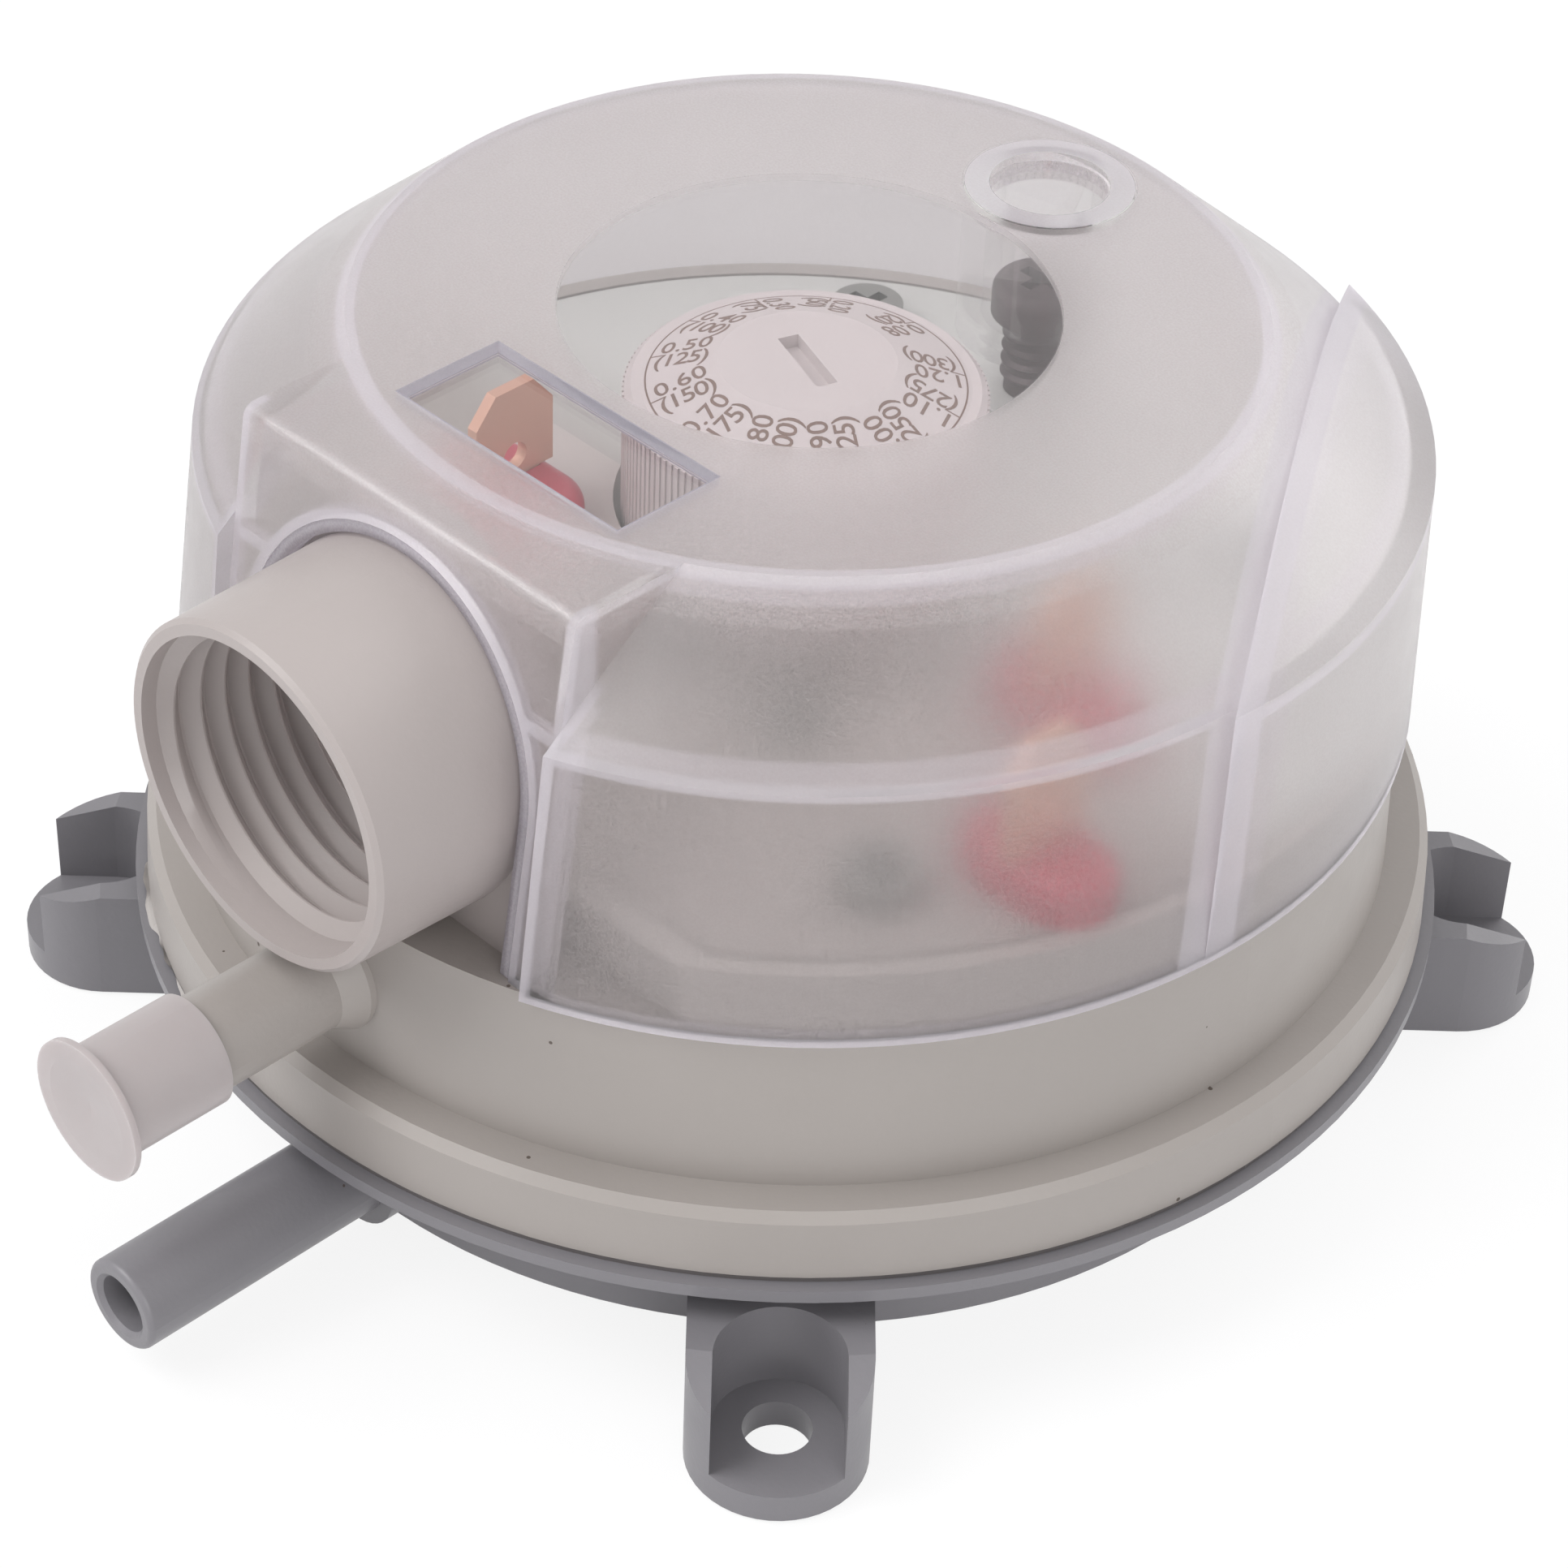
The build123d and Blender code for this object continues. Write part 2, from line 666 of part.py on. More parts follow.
with BuildPart() as conduit_hub:
    with BuildSketch(Plane.YZ.offset(-hub_plate_half)) as plate_side:
        with BuildLine() as plate_side_line:
            Polyline(
                (-hub_plate_front_y, drum_top_z),
                (-hub_plate_front_y + hub_plate_thick, drum_top_z),
                (-box_front_at(inner_top_z, cover_wall + hub_plate_side_gap) + hub_plate_thick, inner_top_z),
                (-box_front_at(inner_top_z, cover_wall + hub_plate_side_gap), inner_top_z),
                close=True,
            )
        make_face()
    extrude(amount=2 * hub_plate_half)
    with BuildSketch(Plane.XZ) as plate_arch:
        with Locations((0, hub_z)):
            Circle(hub_plate_half)
        with Locations((0, drum_top_z)):
            Rectangle(2 * hub_plate_half, hub_z - drum_top_z, align=(Align.CENTER, Align.MIN))
    extrude(amount=hub_mouth_y, mode=Mode.INTERSECT)
    with BuildSketch(Plane.YZ) as hub_profile:
        with BuildLine() as hub_line:
            Polyline(
                (-box_front_top_y, hub_z),
                (-box_front_top_y, hub_z + hub_root_r),
                (-hub_mouth_y + hub_bevel, hub_z + hub_mouth_r),
                (-hub_mouth_y, hub_z + hub_mouth_r - hub_bevel),
                (-hub_mouth_y, hub_z),
                close=True,
            )
        make_face()
    revolve(axis=Axis((0, 0, hub_z), (0, 1, 0)))
    with BuildSketch(Plane.XZ) as hub_bore:
        with Locations((0, hub_z)):
            Circle(hub_bore_r)
    extrude(amount=hub_mouth_y + cut_margin, mode=Mode.SUBTRACT)
conduit_hub.part.label = "conduit_hub"
export_step(conduit_hub.part, "parts/conduit_hub.step")


# Deck that carries the dial collar, the terminals and the post of the cover screw

with BuildPart() as contact_carrier:
    with BuildSketch(Plane.XY.offset(deck_low_z)) as deck_sketch:
        Circle(deck_r)
        with Locations((0, -plinth_front_y + plinth_front_wall + seat_gap)):
            Rectangle(3 * deck_r, deck_r, align=(Align.CENTER, Align.MAX), mode=Mode.SUBTRACT)
    extrude(amount=deck_thick)
    with BuildSketch(Plane.XY.offset(deck_top_z)) as tower_sketch:
        with Locations(((tower_x_min + tower_x_max) / 2, (tower_y_min + tower_y_max) / 2)):
            RectangleRounded(tower_x_max - tower_x_min, tower_y_max - tower_y_min, tower_corner)
        Circle(dial_r + 2 * seat_gap, mode=Mode.SUBTRACT)
    extrude(amount=tower_top_z - deck_top_z)
    with BuildSketch(Plane.XY.offset(deck_top_z)) as post_sketch:
        with Locations((0, tube_y)):
            Circle(cover_post_r)
    extrude(amount=cover_post_top_z - deck_top_z)
    with BuildSketch(Plane.XY.offset(deck_top_z)) as collar_sketch:
        Circle(collar_r)
    extrude(amount=collar_top_z - deck_top_z)
    with BuildSketch(Plane.XY.offset(bead_low_z)) as bead_sketch:
        Circle(bead_r)
    extrude(amount=bead_h)
    with BuildSketch(Plane.XY.offset(deck_top_z)) as collar_bore:
        Circle(collar_bore_r)
    extrude(amount=collar_top_z - deck_top_z, mode=Mode.SUBTRACT)
    with BuildSketch(Plane.XY.offset(deck_top_z + collar_slot_low)) as collar_slots:
        Rectangle(2 * bead_r + cut_margin, collar_slot_w)
    extrude(amount=collar_top_z - deck_top_z - collar_slot_low - collar_slot_high, mode=Mode.SUBTRACT)
    with BuildSketch(Plane.XY.offset(deck_low_z)) as deck_holes:
        Circle(deck_hole_r)
        with Locations(
            (deck_screw_front_x, deck_screw_front_y),
            (-deck_screw_front_x, deck_screw_front_y),
            (deck_screw_back_x, deck_screw_back_y),
            (-deck_screw_back_x, deck_screw_back_y),
            (strip_screw_x, strip_screw_y),
        ):
            Circle(deck_screw_r + running_fit)
        with Locations((nc_x, nc_y), (no_x, no_y)):
            Rectangle(blade_thick + 2 * slot_gap, tang_w + 2 * slot_gap)
    extrude(amount=deck_thick, mode=Mode.SUBTRACT)
    with BuildSketch(Plane.XY.offset(deck_low_z)) as tower_slot:
        with Locations((common_x, common_y)):
            Rectangle(blade_thick + 2 * slot_gap, tang_w + 2 * slot_gap)
    extrude(amount=tower_top_z - deck_low_z, mode=Mode.SUBTRACT)
    with BuildSketch(Plane.XY.offset(deck_low_z)) as post_bore:
        with Locations((0, tube_y)):
            Circle(cover_screw_r + shaft_gap)
    extrude(amount=cover_post_top_z - deck_low_z, mode=Mode.SUBTRACT)
contact_carrier.part.label = "contact_carrier"
export_step(contact_carrier.part, "parts/contact_carrier.step")


# Four deck screws and one for the contact strip, all alike

with BuildPart() as deck_screws:
    with BuildSketch(Plane.XY.offset(deck_top_z)) as deck_screw_heads:
        with Locations(
            (deck_screw_front_x, deck_screw_front_y),
            (-deck_screw_front_x, deck_screw_front_y),
            (deck_screw_back_x, deck_screw_back_y),
            (-deck_screw_back_x, deck_screw_back_y),
            (strip_screw_x, strip_screw_y),
        ):
            Circle(deck_screw_head_r)
    extrude(amount=deck_screw_head_h)
    with BuildSketch(Plane.XY.offset(deck_screw_end_z)) as deck_screw_shafts:
        with Locations(
            (deck_screw_front_x, deck_screw_front_y),
            (-deck_screw_front_x, deck_screw_front_y),
            (deck_screw_back_x, deck_screw_back_y),
            (-deck_screw_back_x, deck_screw_back_y),
            (strip_screw_x, strip_screw_y),
        ):
            Circle(deck_screw_r)
    extrude(amount=deck_top_z - deck_screw_end_z)
    with BuildSketch(Plane.XY.offset(deck_top_z + deck_screw_head_h)) as deck_screw_cross:
        with Locations(
            (deck_screw_front_x, deck_screw_front_y),
            (-deck_screw_front_x, deck_screw_front_y),
            (deck_screw_back_x, deck_screw_back_y),
            (-deck_screw_back_x, deck_screw_back_y),
            (strip_screw_x, strip_screw_y),
        ):
            Rectangle(recess_len, recess_w)
            Rectangle(recess_w, recess_len)
    extrude(amount=-recess_depth, mode=Mode.SUBTRACT)
deck_screws.part.label = "deck_screws"
export_step(deck_screws.part, "parts/deck_screws.step")


# Setting dial: number band sloping down from a flat middle, and a threaded stem

with BuildPart() as dial:
    with BuildSketch(Plane.XZ) as dial_profile:
        with BuildLine() as dial_line:
            Polyline(
                (0, stem_low_z),
                (stem_r, stem_low_z),
                (stem_r, collar_top_z),
                (dial_bore_r, collar_top_z),
                (dial_bore_r, dial_low_z + dial_lip_h),
                (dial_lip_r, dial_low_z + dial_lip_h),
                (dial_lip_r, dial_low_z),
                (dial_r, dial_low_z),
                (dial_r, dial_rim_z - dial_bevel),
                (dial_r - dial_bevel, dial_rim_z),
                (dial_band_r, dial_rim_z),
                (dial_flat_r, dial_face_z),
                (0, dial_face_z),
                close=True,
            )
        make_face()
    revolve(axis=Axis.Z)
    with BuildSketch(Plane.XY.offset(dial_face_z)) as dial_slot:
        Rectangle(dial_slot_len, dial_slot_w, rotation=dial_slot_deg)
    extrude(amount=-dial_slot_depth, mode=Mode.SUBTRACT)
dial.part.label = "dial"
export_step(dial.part, "parts/dial.step")


# Nut that rides on the stem and is kept from turning by the slots of the collar

with BuildPart() as adjuster_nut:
    with BuildSketch(Plane.XY.offset(nut_low_z)) as nut_sketch:
        Circle(nut_r)
        Rectangle(2 * nut_ear_r, nut_ear_w)
        Circle(stem_r + running_fit, mode=Mode.SUBTRACT)
    extrude(amount=nut_h)
adjuster_nut.part.label = "adjuster_nut"
export_step(adjuster_nut.part, "parts/adjuster_nut.step")


# Lever: fork round the spring seat, barrel on the pivot, bump under the contact arm

lever_bump_top_z = arm_low_z - lever_bump_gap
with BuildPart() as trip_lever:
    with BuildSketch(Plane.XY.offset(lever_low_z)) as lever_sketch:
        with BuildLine() as lever_line:
            Polyline(
                (-lever_back_half, lever_pivot_y),
                (-lever_back_half, lever_short_y),
                (-lever_slot_half, lever_short_y),
                (-lever_slot_half, seat_neck_r + seat_gap),
                (lever_slot_half, seat_neck_r + seat_gap),
                (lever_slot_half, lever_tip_y),
                (lever_back_half, lever_tip_y),
                (lever_back_half, lever_pivot_y),
                close=True,
            )
        make_face()
    extrude(amount=lever_thick)
    with BuildSketch(Plane.YZ.offset(-lever_back_half)) as barrel_sketch:
        with Locations((lever_pivot_y, lever_mid_z)):
            Circle(lever_barrel_r)
    extrude(amount=2 * lever_back_half)
    with BuildSketch(Plane.YZ.offset(-lever_back_half)) as barrel_bore:
        with Locations((lever_pivot_y, lever_mid_z)):
            Circle(pivot_r + running_fit)
    extrude(amount=2 * lever_back_half, mode=Mode.SUBTRACT)
    with BuildSketch(Plane.XY.offset(lever_high_z)) as lever_bump:
        with Locations((lever_tip_x, contact_y)):
            Circle(lever_tip_r)
    extrude(amount=lever_bump_top_z - lever_high_z)
trip_lever.part.label = "trip_lever"
export_step(trip_lever.part, "parts/trip_lever.step")

with BuildPart() as pivot_pin:
    with BuildSketch(Plane.YZ.offset(-ear_in_x - ear_thick)) as pivot_sketch:
        with Locations((lever_pivot_y, lever_mid_z)):
            Circle(pivot_r)
    extrude(amount=2 * (ear_in_x + ear_thick))
pivot_pin.part.label = "pivot_pin"
export_step(pivot_pin.part, "parts/pivot_pin.step")


# Moving contact arm and the rivet contact at its end

with BuildPart() as snap_blade:
    with BuildSketch(Plane.XY.offset(arm_low_z)) as arm_sketch:
        with Locations(((arm_x_min + arm_x_max) / 2, contact_y)):
            Rectangle(arm_x_max - arm_x_min, 2 * arm_half)
        with Locations((contact_x, contact_y)):
            Circle(contact_shank_r + shaft_gap, mode=Mode.SUBTRACT)
    extrude(amount=arm_thick)
snap_blade.part.label = "snap_blade"
export_step(snap_blade.part, "parts/snap_blade.step")

with BuildPart() as moving_contact:
    with BuildSketch(Plane.XY.offset(contact_low_z)) as contact_low_sketch:
        with Locations((contact_x, contact_y)):
            Circle(contact_r)
    extrude(amount=contact_h)
    with BuildSketch(Plane.XY.offset(arm_low_z)) as contact_shank_sketch:
        with Locations((contact_x, contact_y)):
            Circle(contact_shank_r)
    extrude(amount=arm_thick)
    with BuildSketch(Plane.XY.offset(arm_high_z)) as contact_high_sketch:
        with Locations((contact_x, contact_y)):
            Circle(contact_r)
    extrude(amount=contact_h)
moving_contact.part.label = "moving_contact"
export_step(moving_contact.part, "parts/moving_contact.step")


# Blade terminals: tang through the deck, tab above the red foot, strip below

with BuildPart() as common_terminal:
    with BuildSketch(Plane.YZ.offset(common_x - blade_thick / 2)) as common_tab:
        with BuildLine() as common_tab_line:
            Polyline(
                (common_y - blade_w / 2, foot_top_common_z),
                (common_y + blade_w / 2, foot_top_common_z),
                (common_y + blade_w / 2, common_top_z - blade_bevel_h),
                (common_y + blade_w / 2 - blade_bevel_w, common_top_z),
                (common_y - blade_w / 2 + blade_bevel_w, common_top_z),
                (common_y - blade_w / 2, common_top_z - blade_bevel_h),
                close=True,
            )
        make_face()
        with Locations((common_y, common_top_z - blade_hole_drop)):
            Circle(blade_hole_r, mode=Mode.SUBTRACT)
    extrude(amount=blade_thick)
    with BuildSketch(Plane.XY.offset(common_foot_z)) as common_tang:
        with Locations((common_x, common_y)):
            Rectangle(blade_thick, tang_w)
    extrude(amount=foot_top_common_z - common_foot_z)
    with BuildSketch(Plane.XY.offset(common_foot_z)) as common_foot_sketch:
        with Locations((common_x - blade_thick / 2, contact_y)):
            Rectangle(
                common_foot_x - common_x + blade_thick / 2,
                2 * strip_half,
                align=(Align.MIN, Align.CENTER),
            )
    extrude(amount=strip_thick)
common_terminal.part.label = "common_terminal"
export_step(common_terminal.part, "parts/common_terminal.step")

with BuildPart() as nc_terminal:
    with BuildSketch(Plane.YZ.offset(nc_x - blade_thick / 2)) as nc_tab:
        with BuildLine() as nc_tab_line:
            Polyline(
                (nc_y - blade_w / 2, foot_top_side_z),
                (nc_y + blade_w / 2, foot_top_side_z),
                (nc_y + blade_w / 2, side_blade_top_z - blade_bevel_h),
                (nc_y + blade_w / 2 - blade_bevel_w, side_blade_top_z),
                (nc_y - blade_w / 2 + blade_bevel_w, side_blade_top_z),
                (nc_y - blade_w / 2, side_blade_top_z - blade_bevel_h),
                close=True,
            )
        make_face()
        with Locations((nc_y, side_blade_top_z - blade_hole_drop)):
            Circle(blade_hole_r, mode=Mode.SUBTRACT)
    extrude(amount=blade_thick)
    with BuildSketch(Plane.XY.offset(nc_strip_z)) as nc_tang:
        with Locations((nc_x, nc_y)):
            Rectangle(blade_thick, tang_w)
    extrude(amount=foot_top_side_z - nc_strip_z)
    with BuildSketch(Plane.XY.offset(nc_strip_z)) as nc_strip:
        with Locations((strip_x_min + strip_half / 2, contact_y - strip_half)):
            Rectangle(
                strip_x_max - strip_x_min - strip_half / 2,
                nc_strip_back_y - contact_y + strip_half,
                align=(Align.MIN, Align.MIN),
            )
        with Locations((strip_x_max - strip_half, nc_strip_front_y)):
            Rectangle(
                nc_x + blade_thick / 2 - strip_x_max + strip_half,
                nc_strip_back_y - nc_strip_front_y,
                align=(Align.MIN, Align.MIN),
            )
        with Locations((nc_x + blade_thick / 2, nc_strip_front_y)):
            Rectangle(
                strip_half,
                nc_y + tang_w / 2 - nc_strip_front_y,
                align=(Align.MAX, Align.MIN),
            )
    extrude(amount=strip_thick)
    with BuildSketch(Plane.XY.offset(nc_strip_z + strip_thick)) as nc_button:
        with Locations((contact_x, contact_y)):
            Circle(contact_r)
    extrude(amount=contact_h)
nc_terminal.part.label = "nc_terminal"
export_step(nc_terminal.part, "parts/nc_terminal.step")

with BuildPart() as no_terminal:
    with BuildSketch(Plane.YZ.offset(no_x - blade_thick / 2)) as no_tab:
        with BuildLine() as no_tab_line:
            Polyline(
                (no_y - blade_w / 2, foot_top_side_z),
                (no_y + blade_w / 2, foot_top_side_z),
                (no_y + blade_w / 2, side_blade_top_z - blade_bevel_h),
                (no_y + blade_w / 2 - blade_bevel_w, side_blade_top_z),
                (no_y - blade_w / 2 + blade_bevel_w, side_blade_top_z),
                (no_y - blade_w / 2, side_blade_top_z - blade_bevel_h),
                close=True,
            )
        make_face()
        with Locations((no_y, side_blade_top_z - blade_hole_drop)):
            Circle(blade_hole_r, mode=Mode.SUBTRACT)
    extrude(amount=blade_thick)
    with BuildSketch(Plane.XY.offset(no_strip_z)) as no_tang:
        with Locations((no_x, no_y)):
            Rectangle(blade_thick, tang_w)
    extrude(amount=foot_top_side_z - no_strip_z)
    with BuildSketch(Plane.XY.offset(no_strip_z)) as no_strip:
        with Locations((strip_x_min, contact_y - strip_half)):
            Rectangle(
                strip_x_max - strip_x_min,
                no_strip_back_y - contact_y + strip_half,
                align=(Align.MIN, Align.MIN),
            )
        with Locations((strip_x_max - strip_half, no_strip_back_y - 2 * strip_half)):
            Rectangle(
                no_x + blade_thick / 2 - strip_x_max + strip_half,
                2 * strip_half,
                align=(Align.MIN, Align.MIN),
            )
        with Locations((no_x + blade_thick / 2, no_strip_back_y - 2 * strip_half)):
            Rectangle(
                strip_half,
                no_y + tang_w / 2 - no_strip_back_y + 2 * strip_half,
                align=(Align.MAX, Align.MIN),
            )
        with Locations((strip_screw_x, strip_screw_y)):
            Circle(deck_screw_r + running_fit, mode=Mode.SUBTRACT)
    extrude(amount=strip_thick)
    with BuildSketch(Plane.XY.offset(no_button_z)) as no_button:
        with Locations((contact_x, contact_y)):
            Circle(contact_r)
    extrude(amount=no_strip_z - no_button_z)
no_terminal.part.label = "no_terminal"
export_step(no_terminal.part, "parts/no_terminal.step")


# Red feet, one under each tab

with BuildPart() as common_base:
    with BuildSketch(Plane.XY.offset(tower_top_z)) as common_base_sketch:
        with Locations((common_x, common_y)):
            SlotOverall(foot_len, foot_w)
    extrude(amount=foot_h)
    fillet(common_base.edges().group_by(Axis.Z)[-1], radius=foot_round)
    with BuildSketch(Plane.XY.offset(tower_top_z)) as common_base_slot:
        with Locations((common_x, common_y)):
            Rectangle(blade_thick + 2 * slot_gap, tang_w + 2 * slot_gap)
    extrude(amount=foot_h, mode=Mode.SUBTRACT)
common_base.part.label = "common_base"
export_step(common_base.part, "parts/common_base.step")

with BuildPart() as nc_base:
    with BuildSketch(Plane.XY.offset(deck_top_z)) as nc_base_sketch:
        with Locations((nc_x, nc_y)):
            SlotOverall(foot_len, foot_w)
    extrude(amount=foot_h)
    fillet(nc_base.edges().group_by(Axis.Z)[-1], radius=foot_round)
    with BuildSketch(Plane.XY.offset(deck_top_z)) as nc_base_slot:
        with Locations((nc_x, nc_y)):
            Rectangle(blade_thick + 2 * slot_gap, tang_w + 2 * slot_gap)
    extrude(amount=foot_h, mode=Mode.SUBTRACT)
nc_base.part.label = "nc_base"
export_step(nc_base.part, "parts/nc_base.step")

with BuildPart() as no_base:
    with BuildSketch(Plane.XY.offset(deck_top_z)) as no_base_sketch:
        with Locations((no_x, no_y)):
            SlotOverall(foot_len, foot_w)
    extrude(amount=foot_h)
    fillet(no_base.edges().group_by(Axis.Z)[-1], radius=foot_round)
    with BuildSketch(Plane.XY.offset(deck_top_z)) as no_base_slot:
        with Locations((no_x, no_y)):
            Rectangle(blade_thick + 2 * slot_gap, tang_w + 2 * slot_gap)
    extrude(amount=foot_h, mode=Mode.SUBTRACT)
no_base.part.label = "no_base"
export_step(no_base.part, "parts/no_base.step")


# Shape of the thicker field of the cover, beyond a plane beside the axis

with BuildPart() as cover_bulge:
    with BuildSketch(Plane.XZ) as bulge_profile:
        with BuildLine() as bulge_line:
            Polyline(
                (0, drum_top_z),
                (cover_low_r, drum_top_z),
                (bulge_shoulder_r, bulge_shoulder_z),
                (disc_r, cover_top_z),
                (0, cover_top_z),
                close=True,
            )
        make_face()
    revolve(axis=Axis.Z)
    with BuildSketch(Plane.XY.offset(drum_top_z)) as bulge_cut:
        with Locations(Location((0, 0, 0), (0, 0, bulge_dir_deg))):
            with Locations((bulge_plane_d, 0)):
                Rectangle(3 * cover_low_r, 3 * cover_low_r, align=(Align.MAX, Align.CENTER))
    extrude(amount=cover_top_z - drum_top_z, mode=Mode.SUBTRACT)

# Hollow of the cover

shoulder_lean = (shoulder_r - disc_r) / (cover_top_z - shoulder_z)
with BuildPart() as cover_hollow:
    with BuildSketch(Plane.XZ) as hollow_profile:
        with BuildLine() as hollow_line:
            Polyline(
                (0, drum_top_z),
                (cover_low_r - cover_wall, drum_top_z),
                (shoulder_r - cover_wall, shoulder_z - cover_wall / 2),
                (disc_r - cover_wall / 2, inner_top_z),
                (0, inner_top_z),
                close=True,
            )
        make_face()
    revolve(axis=Axis.Z)
    with BuildSketch(Plane.YZ.offset(-box_half + cover_wall)) as hollow_box_side:
        with BuildLine() as hollow_box_line:
            Polyline(
                (-box_front_at(drum_top_z, cover_wall), drum_top_z),
                (-box_front_at(inner_top_z, cover_wall), inner_top_z),
                (-box_back_y, inner_top_z),
                (-box_back_y, drum_top_z),
                close=True,
            )
        make_face()
    extrude(amount=2 * (box_half - cover_wall))
    with BuildSketch(Plane.YZ.offset(-box_half - cover_wall)) as hollow_front_side:
        with BuildLine() as hollow_front_line:
            Polyline(
                (-box_front_at(drum_top_z, cover_wall), drum_top_z),
                (-box_front_at(cover_top_z, cover_wall), cover_top_z),
                (-cover_low_r - cut_margin, cover_top_z),
                (-cover_low_r - cut_margin, drum_top_z),
                close=True,
            )
        make_face()
    extrude(amount=2 * (box_half + cover_wall), mode=Mode.SUBTRACT)

# Cover: drum with cone and flat disc, box over the conduit entry, screw tube, windows

with BuildPart() as cover:
    with BuildSketch(Plane.XZ) as cover_profile:
        with BuildLine() as cover_line:
            Polyline(
                (0, drum_top_z),
                (cover_low_r, drum_top_z),
                (shoulder_r, shoulder_z),
                (disc_r, cover_top_z),
                (0, cover_top_z),
                close=True,
            )
        make_face()
    revolve(axis=Axis.Z)
    add(cover_bulge.part)
    with BuildSketch(Plane.YZ.offset(-box_half)) as box_side:
        with BuildLine() as box_line:
            Polyline(
                (-box_front_at(drum_top_z, 0), drum_top_z),
                (-box_front_at(cover_top_z, 0), cover_top_z),
                (-box_back_y, cover_top_z),
                (-box_back_y, drum_top_z),
                close=True,
            )
        make_face()
    extrude(amount=2 * box_half)
    with BuildSketch(Plane.YZ.offset(-box_half)) as front_side:
        with BuildLine() as front_line:
            Polyline(
                (-box_front_at(drum_top_z, 0), drum_top_z),
                (-box_front_at(cover_top_z, 0), cover_top_z),
                (-cover_low_r - cut_margin, cover_top_z),
                (-cover_low_r - cut_margin, drum_top_z),
                close=True,
            )
        make_face()
    extrude(amount=2 * box_half, mode=Mode.SUBTRACT)
    box_top_edge = cover.edges().filter_by(Axis.X).group_by(Axis.Z)[-1].sort_by(Axis.Y)[0]
    fillet(box_top_edge, radius=box_edge_round)
    add(cover_hollow.part, mode=Mode.SUBTRACT)
    with BuildSketch(Plane.XY.offset(tube_floor_top_z - cover_wall)) as tube_sketch:
        with Locations((0, tube_y)):
            Circle(tube_r)
    extrude(amount=cover_top_z - tube_floor_top_z + cover_wall)
    with BuildSketch(Plane.XY.offset(tube_floor_top_z)) as tube_bore:
        with Locations((0, tube_y)):
            Circle(tube_bore_r)
    extrude(amount=cover_top_z - tube_floor_top_z, mode=Mode.SUBTRACT)
    with BuildSketch(Plane.XY.offset(tube_floor_top_z - cover_wall)) as tube_hole:
        with Locations((0, tube_y)):
            Circle(cover_screw_hole_r)
    extrude(amount=cover_wall, mode=Mode.SUBTRACT)
    with BuildSketch(Plane.XZ.offset(box_back_y)) as arch_sketch:
        with Locations((0, hub_z)):
            Circle(arch_r)
        with Locations((0, drum_top_z)):
            Rectangle(2 * arch_r, hub_z - drum_top_z, align=(Align.CENTER, Align.MIN))
    extrude(amount=cover_low_r, mode=Mode.SUBTRACT)
    with BuildSketch(Plane.XY.offset(cover_top_z)) as window_sketch:
        with Locations((0, (window_y_min + window_y_max) / 2)):
            Rectangle(2 * window_x_half, window_y_max - window_y_min)
    extrude(amount=-window_sink, mode=Mode.SUBTRACT)
cover.part.label = "cover"
export_step(cover.part, "parts/cover.step")


# Cover screw, held in the tube and screwed into the post of the deck

with BuildPart() as cover_screw:
    with BuildSketch(Plane.XY.offset(tube_floor_top_z)) as cover_screw_head:
        with Locations((0, tube_y)):
            Circle(cover_screw_head_r)
    extrude(amount=cover_screw_head_h)
    fillet(cover_screw.edges().group_by(Axis.Z)[-1], radius=head_round)
    with BuildSketch(Plane.XY.offset(cover_screw_end_z)) as cover_screw_shaft:
        with Locations((0, tube_y)):
            Circle(cover_screw_r)
    extrude(amount=tube_floor_top_z - cover_screw_end_z)
    with BuildSketch(Plane.XY.offset(tube_floor_top_z + cover_screw_head_h)) as cover_screw_cross:
        with Locations((0, tube_y)):
            Rectangle(recess_len, recess_w)
            Rectangle(recess_w, recess_len)
    extrude(amount=-recess_depth, mode=Mode.SUBTRACT)
cover_screw.part.label = "cover_screw"
export_step(cover_screw.part, "parts/cover_screw.step")


# Soft cap pushed over the upper nipple

with BuildPart() as nipple_cap:
    with BuildSketch(Plane.YZ) as cap_profile:
        with BuildLine() as cap_line:
            Polyline(
                (-cap_open_y, upper_nipple_z + cap_bore_r),
                (-cap_open_y, upper_nipple_z + cap_r),
                (-cap_end_y + cap_rim_h, upper_nipple_z + cap_r),
                (-cap_end_y + cap_rim_h / 2, upper_nipple_z + cap_rim_r),
                (-cap_end_y, upper_nipple_z + cap_rim_r),
                (-cap_end_y, upper_nipple_z + cap_dish_r),
                (-cap_end_y + cap_dish_depth, upper_nipple_z),
                (-cap_end_y + cap_floor, upper_nipple_z),
                (-cap_end_y + cap_floor, upper_nipple_z + cap_bore_r),
                close=True,
            )
        make_face()
    revolve(axis=Axis((0, 0, upper_nipple_z), (0, 1, 0)))
nipple_cap.part.label = "nipple_cap"
export_step(nipple_cap.part, "parts/nipple_cap.step")
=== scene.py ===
# %% [markdown]
# A differential pressure switch, dressed for a picture.
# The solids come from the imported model: a grey base, a warm grey drum with two hose nipples
# and a conduit entry, and a frosted clear cover over a dial and three blade terminals.
# This notebook gives every solid its finish and adds what is too fine for the solids.
# The frame has to be loaded first, because everything else is measured from it.

# %% Load the frame
import math

import bmesh
import bpy
from mathutils import Matrix, Vector


